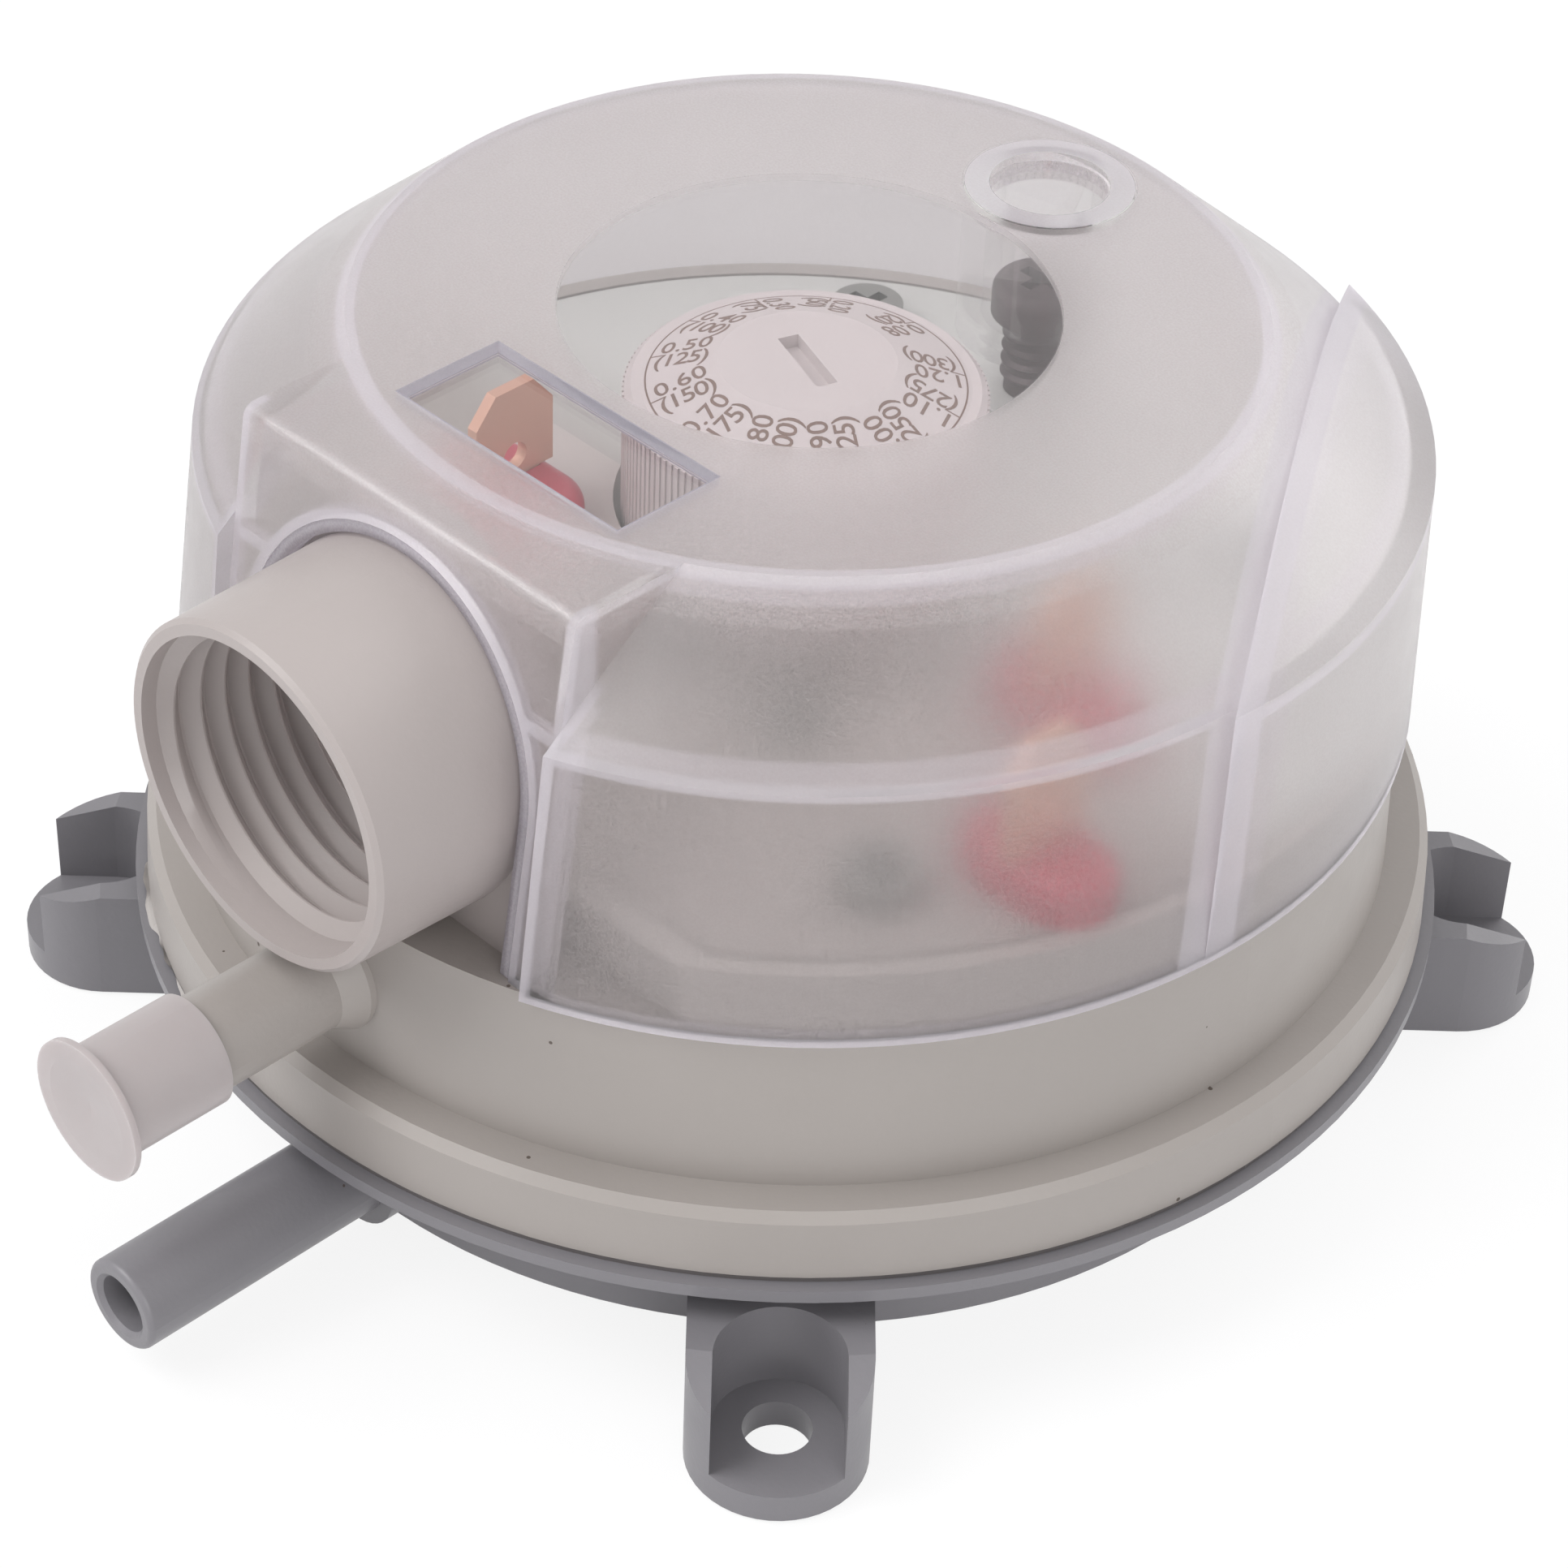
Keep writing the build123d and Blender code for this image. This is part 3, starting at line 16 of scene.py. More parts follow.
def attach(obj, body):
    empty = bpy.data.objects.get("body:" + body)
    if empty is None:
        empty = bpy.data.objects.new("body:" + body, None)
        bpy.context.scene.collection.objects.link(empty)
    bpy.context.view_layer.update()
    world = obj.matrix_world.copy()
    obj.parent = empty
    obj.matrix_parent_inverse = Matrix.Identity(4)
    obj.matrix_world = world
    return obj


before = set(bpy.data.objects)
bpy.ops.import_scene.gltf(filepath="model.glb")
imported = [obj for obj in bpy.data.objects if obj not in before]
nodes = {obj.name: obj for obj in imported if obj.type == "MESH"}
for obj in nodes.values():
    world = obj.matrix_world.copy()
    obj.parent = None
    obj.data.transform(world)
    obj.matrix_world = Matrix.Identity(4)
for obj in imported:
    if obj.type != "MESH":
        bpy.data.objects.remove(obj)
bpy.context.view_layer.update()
MM = 0.001

# %% [markdown]
# The camera stands where the photograph was taken from: a long lens, to the right and above.
# It could be aimed with a tracking constraint, but the photograph leans by a little over two
# degrees. Three axes worked out from azimuth, height and lean say that directly.

# %% Camera
IMAGE_SIDE = 1932
FOCAL_PIXELS = 5500.0
SENSOR_MM = 36.0
CAMERA_AZIMUTH = math.radians(43.87)
CAMERA_HEIGHT = math.radians(38.51)
CAMERA_LEAN = math.radians(2.43)
CAMERA_PLACE = Vector((160.33, -167.27, 199.49)) * MM


def camera_axes(azimuth, height, lean):
    """Right, up and backward axes of a camera that looks at the object."""
    flat_right = Vector((math.cos(azimuth), math.sin(azimuth), 0.0))
    back = Vector((
        math.sin(azimuth) * math.cos(height),
        -math.cos(azimuth) * math.cos(height),
        math.sin(height),
    ))
    straight_up = back.cross(flat_right)
    right = flat_right * math.cos(lean) + straight_up * math.sin(lean)
    up = straight_up * math.cos(lean) - flat_right * math.sin(lean)
    return right, up, back


camera_data = bpy.data.cameras.new("camera")
camera_data.sensor_width = SENSOR_MM
camera_data.lens = SENSOR_MM * FOCAL_PIXELS / IMAGE_SIDE
camera_data.clip_start = 0.01
camera_data.clip_end = 10.0
camera = bpy.data.objects.new("camera", camera_data)
bpy.context.scene.collection.objects.link(camera)
camera_turn = Matrix(camera_axes(CAMERA_AZIMUTH, CAMERA_HEIGHT, CAMERA_LEAN)).transposed()
camera.matrix_world = Matrix.Translation(CAMERA_PLACE) @ camera_turn.to_4x4()
bpy.context.scene.camera = camera
print("lens", round(camera_data.lens, 2))

# %% [markdown]
# The floor, the world and every finish need a few helpers: an empty node material, one maths
# node, a mix of two shaders, and a way to tell the rays that reach the eye from the rays that
# only carry light.
# A ground as white as the photograph's could also come from stronger lamps, but those would
# wash out the object. Telling the rays apart leaves the light on the object alone.

# %% Material and object helpers
WHITE = (1.0, 1.0, 1.0, 1.0)


def new_material(name):
    """An empty node material with its output."""
    material = bpy.data.materials.new(name)
    material.use_nodes = True
    tree = material.node_tree
    tree.nodes.clear()
    output = tree.nodes.new("ShaderNodeOutputMaterial")
    return material, tree, output


def calculate(tree, operation, *values):
    """One maths node; values are sockets or plain numbers."""
    node = tree.nodes.new("ShaderNodeMath")
    node.operation = operation
    for index, value in enumerate(values):
        if isinstance(value, (int, float)):
            node.inputs[index].default_value = value
        else:
            tree.links.new(value, node.inputs[index])
    return node.outputs[0]


def mix_shaders(tree, share, first, second):
    """Mixes two shaders; share is a socket or a number."""
    mix = tree.nodes.new("ShaderNodeMixShader")
    if isinstance(share, float):
        mix.inputs[0].default_value = share
    else:
        tree.links.new(share, mix.inputs[0])
    tree.links.new(first, mix.inputs[1])
    tree.links.new(second, mix.inputs[2])
    return mix.outputs[0]


def seen_directly(tree):
    """1 for camera, glossy and transmitted rays, else 0."""
    path = tree.nodes.new("ShaderNodeLightPath")
    straight = calculate(tree, "MAXIMUM", path.outputs["Is Camera Ray"], path.outputs["Is Glossy Ray"])
    return calculate(tree, "MAXIMUM", straight, path.outputs["Is Transmission Ray"])


def add_object(name, data):
    """A new object in the scene."""
    made = bpy.data.objects.new(name, data)
    bpy.context.scene.collection.objects.link(made)
    return made


print("helpers ready")

# %% [markdown]
# The photograph has a plain white ground with a soft shadow. The floor is a large pale sheet, a
# hair under the base so that the two faces don't fight. To the eye it shows mostly white; to
# the light it is an ordinary pale surface, so it still keeps the shadow of the object.

# %% Floor
FLOOR_HALF = 3.0
FLOOR_DROP = 0.2 * MM
FLOOR_TONE = (0.90, 0.90, 0.91, 1.0)
FLOOR_WHITE_SHARE = 0.86


def make_floor():
    """A wide pale sheet just under the base."""
    mesh = bpy.data.meshes.new("floor")
    signs = ((-1, -1), (1, -1), (1, 1), (-1, 1))
    corners = [(x * FLOOR_HALF, y * FLOOR_HALF, -FLOOR_DROP) for x, y in signs]
    mesh.from_pydata(corners, [], [(0, 1, 2, 3)])
    floor = add_object("floor", mesh)
    material, tree, output = new_material("floor_paper")
    matt = tree.nodes.new("ShaderNodeBsdfDiffuse")
    matt.inputs["Color"].default_value = FLOOR_TONE
    white = tree.nodes.new("ShaderNodeEmission")
    white.inputs["Color"].default_value = WHITE
    share = calculate(tree, "MULTIPLY", seen_directly(tree), FLOOR_WHITE_SHARE)
    surface = mix_shaders(tree, share, matt.outputs[0], white.outputs[0])
    tree.links.new(surface, output.inputs["Surface"])
    mesh.materials.append(material)
    return floor


print("floor", make_floor().name)

# %% [markdown]
# The world does the same as the floor: plain white to the eye, and dimmer as a light, so that it
# fills the shadows without flattening the mouldings.

# %% World
WORLD_LIGHT = 0.62


def light_world():
    """White to the eye, softer as a light."""
    world = bpy.data.worlds.new("studio")
    bpy.context.scene.world = world
    world.use_nodes = True
    tree = world.node_tree
    tree.nodes.clear()
    output = tree.nodes.new("ShaderNodeOutputWorld")
    dim = tree.nodes.new("ShaderNodeBackground")
    dim.inputs["Color"].default_value = WHITE
    dim.inputs["Strength"].default_value = WORLD_LIGHT
    white = tree.nodes.new("ShaderNodeBackground")
    white.inputs["Color"].default_value = WHITE
    white.inputs["Strength"].default_value = 1.0
    surface = mix_shaders(tree, seen_directly(tree), dim.outputs[0], white.outputs[0])
    tree.links.new(surface, output.inputs["Surface"])


light_world()
bpy.context.scene.view_settings.view_transform = "Standard"
print("world light", WORLD_LIGHT)

# %% [markdown]
# Three soft lamps: one high over the left shoulder of the camera for the bright tops, one low
# on the right to keep the flanks readable, and one behind for the rim of the clear cover.
# Area lamps are used because their size alone makes the shadow edge soft.

# %% Lamps
LAMPS = {
    "key": ((-0.35, -0.55, 0.85), 0.70, 9.0),
    "fill": ((0.75, -0.25, 0.35), 0.60, 2.4),
    "back": ((0.10, 0.80, 0.60), 0.60, 4.0),
}
LAMP_TARGET = Vector((0.0, 0.0, 0.02))


def make_lamp(name, place, size, watts):
    """A square soft lamp that faces the object."""
    data = bpy.data.lights.new(name, "AREA")
    data.size = size
    data.energy = watts
    lamp = add_object(name, data)
    lamp.location = place
    lamp.rotation_euler = (LAMP_TARGET - Vector(place)).to_track_quat("-Z", "Y").to_euler()
    return lamp


for lamp_name, (lamp_place, lamp_size, lamp_watts) in LAMPS.items():
    make_lamp(lamp_name, lamp_place, lamp_size, lamp_watts)
print("lamps", list(LAMPS))

# %% [markdown]
# The finishes are built from noise. It is read in the object's own space, so that a pattern
# keeps its place when a piece moves. A wrapped picture could do the same, but noise needs no
# seams and no file.

# %% Noise helpers
NOISE_LOW = 0.3
NOISE_HIGH = 0.7
GRAIN_STRENGTH = 0.5


def linear(colour):
    """An sRGB colour, 0 to 255, as the linear numbers that a shader wants."""
    scaled = [c / 255 for c in colour]
    return tuple(c / 12.92 if c <= 0.04045 else ((c + 0.055) / 1.055) ** 2.4 for c in scaled) + (1.0,)


def object_noise(tree, scale, detail=3.0):
    """Noise read from object coordinates; scale is waves per metre."""
    place = tree.nodes.new("ShaderNodeTexCoord")
    noise = tree.nodes.new("ShaderNodeTexNoise")
    noise.inputs["Scale"].default_value = scale
    noise.inputs["Detail"].default_value = detail
    tree.links.new(place.outputs["Object"], noise.inputs["Vector"])
    return noise.outputs["Fac"]


def remap(tree, value, low, high):
    """Moves a 0 to 1 value into low to high."""
    node = tree.nodes.new("ShaderNodeMapRange")
    node.inputs["From Min"].default_value = NOISE_LOW
    node.inputs["From Max"].default_value = NOISE_HIGH
    node.inputs["To Min"].default_value = low
    node.inputs["To Max"].default_value = high
    tree.links.new(value, node.inputs["Value"])
    return node.outputs["Result"]


def add_grain(tree, shader, scale, depth):
    """Fine bump on the shader's normal."""
    bump = tree.nodes.new("ShaderNodeBump")
    bump.inputs["Strength"].default_value = GRAIN_STRENGTH
    bump.inputs["Distance"].default_value = depth
    tree.links.new(object_noise(tree, scale), bump.inputs["Height"])
    tree.links.new(bump.outputs["Normal"], shader.inputs["Normal"])


def speck_mask(tree, scale, size, rarity):
    """1 on a few small dots: the middles of some Voronoi cells."""
    place = tree.nodes.new("ShaderNodeTexCoord")
    cells = tree.nodes.new("ShaderNodeTexVoronoi")
    cells.inputs["Scale"].default_value = scale
    tree.links.new(place.outputs["Object"], cells.inputs["Vector"])
    pick = tree.nodes.new("ShaderNodeSeparateColor")
    tree.links.new(cells.outputs["Color"], pick.inputs[0])
    dot = calculate(tree, "LESS_THAN", cells.outputs["Distance"], size)
    return calculate(tree, "MULTIPLY", dot, calculate(tree, "GREATER_THAN", pick.outputs[0], rarity))


print("noise helpers ready")

# %% [markdown]
# Most pieces are satin mouldings. Real mouldings are never one flat tone: the surface has a very
# fine grain, the tone and the gloss wander a little, and the photographed switch carries a few
# dark specks of dust on its outer mouldings. One recipe gives all of that for any colour.

# %% Satin recipe
TONE_SCALE = 60.0
GLOSS_SCALE = 130.0
GRAIN_FINE = 2600.0
GRAIN_FINE_DEPTH = 0.03 * MM
DUST_TONE = (84, 74, 68)
DUST_SCALE = 380.0
DUST_SIZE = 0.055
DUST_RARITY = 0.80


def satin(name, colour, rough=0.42, spread=0.08, metal=0.0, grain=GRAIN_FINE, tone=0.05, dusty=False):
    """A finish with a wandering tone and gloss, a fine grain and, if dusty, a few dark specks."""
    material, tree, output = new_material(name)
    shader = tree.nodes.new("ShaderNodeBsdfPrincipled")
    shader.inputs["Metallic"].default_value = metal
    base = linear(colour)
    ramp = tree.nodes.new("ShaderNodeMix")
    ramp.data_type = "RGBA"
    ramp.inputs["A"].default_value = tuple(c * (1 - tone) for c in base[:3]) + (1.0,)
    ramp.inputs["B"].default_value = tuple(min(1.0, c * (1 + tone)) for c in base[:3]) + (1.0,)
    tree.links.new(object_noise(tree, TONE_SCALE), ramp.inputs["Factor"])
    tint = ramp.outputs["Result"]
    if dusty:
        dust = tree.nodes.new("ShaderNodeMix")
        dust.data_type = "RGBA"
        dust.inputs["B"].default_value = linear(DUST_TONE)
        tree.links.new(speck_mask(tree, DUST_SCALE, DUST_SIZE, DUST_RARITY), dust.inputs["Factor"])
        tree.links.new(tint, dust.inputs["A"])
        tint = dust.outputs["Result"]
    tree.links.new(tint, shader.inputs["Base Color"])
    gloss = remap(tree, object_noise(tree, GLOSS_SCALE), rough - spread, rough + spread)
    tree.links.new(gloss, shader.inputs["Roughness"])
    add_grain(tree, shader, grain, GRAIN_FINE_DEPTH)
    tree.links.new(shader.outputs[0], output.inputs["Surface"])
    return material


def dress(node, material):
    """Gives a CAD node its finish."""
    mesh = nodes[node].data
    mesh.materials.clear()
    mesh.materials.append(material)


print("satin recipe ready")

# %% [markdown]
# The grey base and the warm grey drum are the same kind of moulding in two colours; the conduit
# entry is a little pinker than the drum. The hidden pieces get finishes too, because
# the cover can be lifted and the model can be taken apart.

# %% Mouldings and metals
mixed_before = len(bpy.data.materials)
base_grey = satin("base_grey", (117, 115, 119), rough=0.42, dusty=True)
drum_beige = satin("drum_beige", (150, 144, 140), rough=0.42, dusty=True)
hub_beige = satin("hub_beige", (159, 151, 149), rough=0.40, dusty=True)
deck_white = satin("deck_white", (168, 162, 158), rough=0.45)
pin_ivory = satin("pin_ivory", (214, 210, 200), rough=0.38)
terminal_red = satin("terminal_red", (186, 66, 84), rough=0.36)
blade_copper = satin("blade_copper", (222, 176, 154), rough=0.42, metal=0.30, grain=900.0)
plate_aluminium = satin("plate_aluminium", (196, 197, 200), rough=0.36, metal=1.0)
screw_zinc = satin("screw_zinc", (160, 162, 158), rough=0.40, metal=0.8)
screw_dark = satin("screw_dark", (86, 75, 77), rough=0.45, metal=0.2)
spring_steel = satin("spring_steel", (170, 170, 172), rough=0.28, metal=1.0)
nut_brass = satin("nut_brass", (196, 168, 108), rough=0.30, metal=1.0)
contact_silver = satin("contact_silver", (206, 206, 206), rough=0.22, metal=1.0)
arm_bronze = satin("arm_bronze", (200, 150, 112), rough=0.30, metal=1.0)
seal_rubber = satin("seal_rubber", (42, 42, 44), rough=0.62)
dial_white = satin("dial_white", (208, 200, 200), rough=0.46, tone=0.02)
film_dark = satin("film_dark", (92, 88, 88), rough=0.30, tone=0.6)
print("finishes mixed", len(bpy.data.materials) - mixed_before)

# %% [markdown]
# The deck is lit most on top of its posts and towards the back, and the drum is lit more above the seat
# of the cover. That light is painted into the colour: in each case one moulding whose colour grows paler
# with height or depth inside the finish.

# %% Painted light on the deck and the drum


def paint_light_along_axis(material, lit_tone, axis, start, end):
    """Paints light into a satin finish: its colour grows paler along an axis, from start to end."""
    tree = material.node_tree
    shader = next(node for node in tree.nodes if node.type == "BSDF_PRINCIPLED")
    source = shader.inputs["Base Color"].links[0].from_socket
    place = tree.nodes.new("ShaderNodeTexCoord")
    split = tree.nodes.new("ShaderNodeSeparateXYZ")
    tree.links.new(place.outputs["Object"], split.inputs[0])
    share = tree.nodes.new("ShaderNodeMapRange")
    share.interpolation_type = "SMOOTHSTEP"
    share.inputs["From Min"].default_value = start
    share.inputs["From Max"].default_value = end
    tree.links.new(split.outputs[axis], share.inputs["Value"])
    paler = tree.nodes.new("ShaderNodeMix")
    paler.data_type = "RGBA"
    paler.inputs["B"].default_value = linear(lit_tone)
    tree.links.new(share.outputs["Result"], paler.inputs["Factor"])
    tree.links.new(source, paler.inputs["A"])
    tree.links.new(paler.outputs["Result"], shader.inputs["Base Color"])


# Painted light: the deck paler on top of its posts and towards the back, the drum paler above the seat
# of the cover.
PAINTED_LIGHT_PLACES = (
    (deck_white, (194, 187, 184), "Z", 33.0 * MM, 36.0 * MM),
    (deck_white, (205, 207, 204), "Y", -4.0 * MM, 10.0 * MM),
    (drum_beige, (178, 173, 169), "Z", 27.4 * MM, 28.0 * MM),
)
for painted_light_place in PAINTED_LIGHT_PLACES:
    paint_light_along_axis(*painted_light_place)
print("paler places", len(PAINTED_LIGHT_PLACES))

# %% [markdown]
# Every solid but the cover and the cap gets its finish here. A table keeps the choice in one
# place, so that a colour can be changed without a search.

# %% Finishes of the solids
FINISHES = {
    "base_housing": base_grey,
    "base_screws": screw_zinc,
    "diaphragm": film_dark,
    "diaphragm_lower_plate": plate_aluminium,
    "diaphragm_upper_plate": plate_aluminium,
    "push_pin": pin_ivory,
    "pin_seal": seal_rubber,
    "spring_seat": pin_ivory,
    "adjusting_spring": spring_steel,
    "upper_housing": drum_beige,
    "conduit_hub": hub_beige,
    "contact_carrier": deck_white,
    "deck_screws": screw_zinc,
    "dial": dial_white,
    "adjuster_nut": nut_brass,
    "trip_lever": pin_ivory,
    "pivot_pin": spring_steel,
    "snap_blade": arm_bronze,
    "moving_contact": contact_silver,
    "common_terminal": blade_copper,
    "nc_terminal": blade_copper,
    "no_terminal": blade_copper,
    "common_base": terminal_red,
    "nc_base": terminal_red,
    "no_base": terminal_red,
    "cover_screw": screw_dark,
}
for node_name, finish in FINISHES.items():
    dress(node_name, finish)
print("finishes", len(FINISHES))

# %% [markdown]
# The cover is one clear moulding. Most of its surface is frosted by the mould, and some places are
# polished: the round window over the dial, the square window over the terminal and the screw tube. Along
# its edges the plastic gathers light and looks milky; that light is painted in as a paler milky haze. A
# second object for the windows would be a lie, so the finish changes by place, from distances worked out
# in the object's own coordinates. These are the places, with the softness of each border.

# %% Places on the cover
WINDOW_R = 15.5 * MM
WINDOW_TOP_Z = 50.6 * MM
SQUARE_HALF_X = 9.55 * MM
SQUARE_MIDDLE_Y = -20.95 * MM
SQUARE_HALF_Y = 4.0 * MM
TUBE_Y = 21.64 * MM
TUBE_R = 5.6 * MM
TUBE_RING_R = 4.67 * MM
TUBE_RING_HALF = 0.8 * MM
DISC_R = 28.3 * MM
SHOULDER_Z = 44.4 * MM
COVER_LOW_Z = 27.3 * MM
BOX_HALF = 14.4 * MM
ARCH_R = 12.7 * MM
HUB_Z = 37.9 * MM
FIELD_DISTANCE = 30.8 * MM
FIELD_TURN = math.radians(32.0)
FIELD_HALF = 1.4 * MM
BOX_FRONT_Y = -31.0 * MM
BOX_FRONT_SOFT = 0.4 * MM
ARCH_Y = -30.0 * MM
ARCH_Y_SOFT = 0.3 * MM
EDGE_HALF = 0.6 * MM
EDGE_SOFT = 0.15 * MM
SHOULDER_HALF = EDGE_HALF * 0.7
RECESS_HALF = 0.09 * MM
RECESS_SOFT = 0.03 * MM
HEIGHT_SOFT = 0.1 * MM
WINDOW_SOFT = 0.06 * MM
SQUARE_SOFT = 0.04 * MM
TUBE_SOFT = 0.05 * MM
print("window", round(WINDOW_R / MM, 1), "square", round(SQUARE_HALF_X * 2 / MM, 1), "mm")

# %% [markdown]
# The border between frost and polish is a clean line in the mould. A mask for it is a chain of
# small steps, so the steps get names: a soft limit, a band around a value, the ways to join two
# masks and a distance in a plane. A painted mask would need an unwrapped mesh; these don't.

# %% Mask maths


def inside(tree, value, limit, soft):
    """1 where value is under limit, falling to 0 over soft."""
    node = tree.nodes.new("ShaderNodeMapRange")
    node.interpolation_type = "SMOOTHSTEP"
    node.inputs["From Min"].default_value = limit - soft
    node.inputs["From Max"].default_value = limit + soft
    node.inputs["To Min"].default_value = 1.0
    node.inputs["To Max"].default_value = 0.0
    tree.links.new(value, node.inputs["Value"])
    return node.outputs["Result"]


def near(tree, value, middle, half, soft):
    """1 where value is within half of middle."""
    away = calculate(tree, "ABSOLUTE", calculate(tree, "SUBTRACT", value, middle))
    return inside(tree, away, half, soft)


def both(tree, *masks):
    """1 only where every mask is 1."""
    result = masks[0]
    for mask in masks[1:]:
        result = calculate(tree, "MULTIPLY", result, mask)
    return result


def any_of(tree, *masks):
    """1 where one of the masks is 1."""
    result = masks[0]
    for mask in masks[1:]:
        result = calculate(tree, "MAXIMUM", result, mask)
    return result


def length_of(tree, first, second):
    """Distance in the plane of two coordinates."""
    squares = [calculate(tree, "POWER", value, 2.0) for value in (first, second)]
    return calculate(tree, "SQRT", calculate(tree, "ADD", *squares))


print("mask maths ready")

# %% [markdown]
# The masks follow the moulding: two windows and a tube that stay clear, a ring, a rim, a shoulder, a
# foot, a box, an arch and a flat field whose edges get painted light as a milky band, and the thin walls
# of the recess round the square window.

# %% Masks of the cover


def cover_masks(tree):
    """Masks in the cover's own space: windows, edges for painted light, tube wall, top, recess walls."""
    place = tree.nodes.new("ShaderNodeTexCoord")
    split = tree.nodes.new("ShaderNodeSeparateXYZ")
    tree.links.new(place.outputs["Object"], split.inputs[0])
    x, y, z = split.outputs["X"], split.outputs["Y"], split.outputs["Z"]
    side = calculate(tree, "ABSOLUTE", x)
    radius = length_of(tree, x, y)
    high = calculate(tree, "SUBTRACT", 1.0, inside(tree, z, WINDOW_TOP_Z, HEIGHT_SOFT))
    round_window = both(tree, high, inside(tree, radius, WINDOW_R, WINDOW_SOFT))
    square_y = near(tree, y, SQUARE_MIDDLE_Y, SQUARE_HALF_Y, SQUARE_SOFT)
    square_window = both(tree, high, square_y, inside(tree, side, SQUARE_HALF_X, SQUARE_SOFT))
    tube_radius = length_of(tree, x, calculate(tree, "SUBTRACT", y, TUBE_Y))
    tube = inside(tree, tube_radius, TUBE_R, TUBE_SOFT)
    tube_ring = both(tree, high, near(tree, tube_radius, TUBE_RING_R, TUBE_RING_HALF, TUBE_SOFT))
    front = inside(tree, y, BOX_FRONT_Y, BOX_FRONT_SOFT)
    disc_edge = both(tree, near(tree, radius, DISC_R, EDGE_HALF, EDGE_SOFT), high)
    shoulder = near(tree, z, SHOULDER_Z, SHOULDER_HALF, EDGE_SOFT)
    foot = inside(tree, z, COVER_LOW_Z + EDGE_HALF, HEIGHT_SOFT)
    box_sides = both(tree, near(tree, side, BOX_HALF, EDGE_HALF, EDGE_SOFT), front)
    lift = calculate(tree, "MAXIMUM", calculate(tree, "SUBTRACT", z, HUB_Z), 0.0)
    arch_radius = length_of(tree, x, lift)
    arch_rim = inside(tree, arch_radius, ARCH_R + EDGE_HALF, EDGE_SOFT)
    arch = both(tree, arch_rim, inside(tree, y, ARCH_Y, ARCH_Y_SOFT))
    across = calculate(tree, "MULTIPLY", x, math.cos(FIELD_TURN))
    along = calculate(tree, "ADD", across, calculate(tree, "MULTIPLY", y, math.sin(FIELD_TURN)))
    field_edge = near(tree, along, FIELD_DISTANCE, FIELD_HALF, EDGE_SOFT)
    clear = any_of(tree, round_window, square_window, calculate(tree, "SUBTRACT", tube, tube_ring))
    edges = any_of(tree, disc_edge, shoulder, foot, box_sides, arch, field_edge, tube_ring)
    tube_wall = calculate(tree, "SUBTRACT", tube, both(tree, tube, high))
    past_x = calculate(tree, "SUBTRACT", side, SQUARE_HALF_X)
    from_middle = calculate(tree, "ABSOLUTE", calculate(tree, "SUBTRACT", y, SQUARE_MIDDLE_Y))
    past_y = calculate(tree, "SUBTRACT", from_middle, SQUARE_HALF_Y)
    past_square = calculate(tree, "MAXIMUM", past_x, past_y)
    recess = both(tree, high, near(tree, past_square, 0.0, RECESS_HALF, RECESS_SOFT))
    return clear, both(tree, edges, calculate(tree, "SUBTRACT", 1.0, clear)), tube_wall, high, recess


print("cover masks ready")

# %% [markdown]
# The plastic itself is a rough clear shader. A share of it is haze, which scatters light back and
# through and stands for the fine white grain of the frost. The straight share of the tube wall
# keeps the screw behind it sharp. Shadow rays pass through the cover dimmed, because light that
# has to find its way through rough plastic would leave the inside dark and noisy.

# %% Measures of the clear plastic
CLEAR_IOR = 1.49
POLISHED_ROUGH = 0.02
FROST_ROUGH = 0.31
FROST_SPREAD = 0.03
FROST_SCALE = 220.0
WAVE_SCALE = 260.0
WAVE_DEPTH = 0.02 * MM
MILK_SHARE = 0.13
SPECKLE_SCALE = 6500.0
SPECKLE_LOW = 0.35
SPECKLE_HIGH = 1.65
TOP_EXTRA = 1.0
# Painted light: the edges of the cover get a paler milky haze, lighter than the frost.
EDGE_LIGHT_SHARE = 0.40
RECESS_SHARE = 0.75
TUBE_STRAIGHT = 0.85
SHADOW_LIGHT = 0.60
MILK_TONE = (212, 206, 206)
EDGE_LIGHT_TONE = (222, 218, 225)
RECESS_TONE = (176, 173, 184)
print("frost", FROST_ROUGH, "milk", MILK_SHARE)

# %% [markdown]
# One material carries all of it, in layers: rough or polished plastic, then haze, then the milky edges,
# which are painted light, then the recess walls, then the straight share of the tube.

# %% Clear plastic

def hazy(tree, colour):
    """Half of the light scattered back, half let through scattered."""
    through = tree.nodes.new("ShaderNodeBsdfTranslucent")
    through.inputs["Color"].default_value = linear(colour)
    back = tree.nodes.new("ShaderNodeBsdfDiffuse")
    back.inputs["Color"].default_value = linear(colour)
    return mix_shaders(tree, 0.5, through.outputs[0], back.outputs[0])


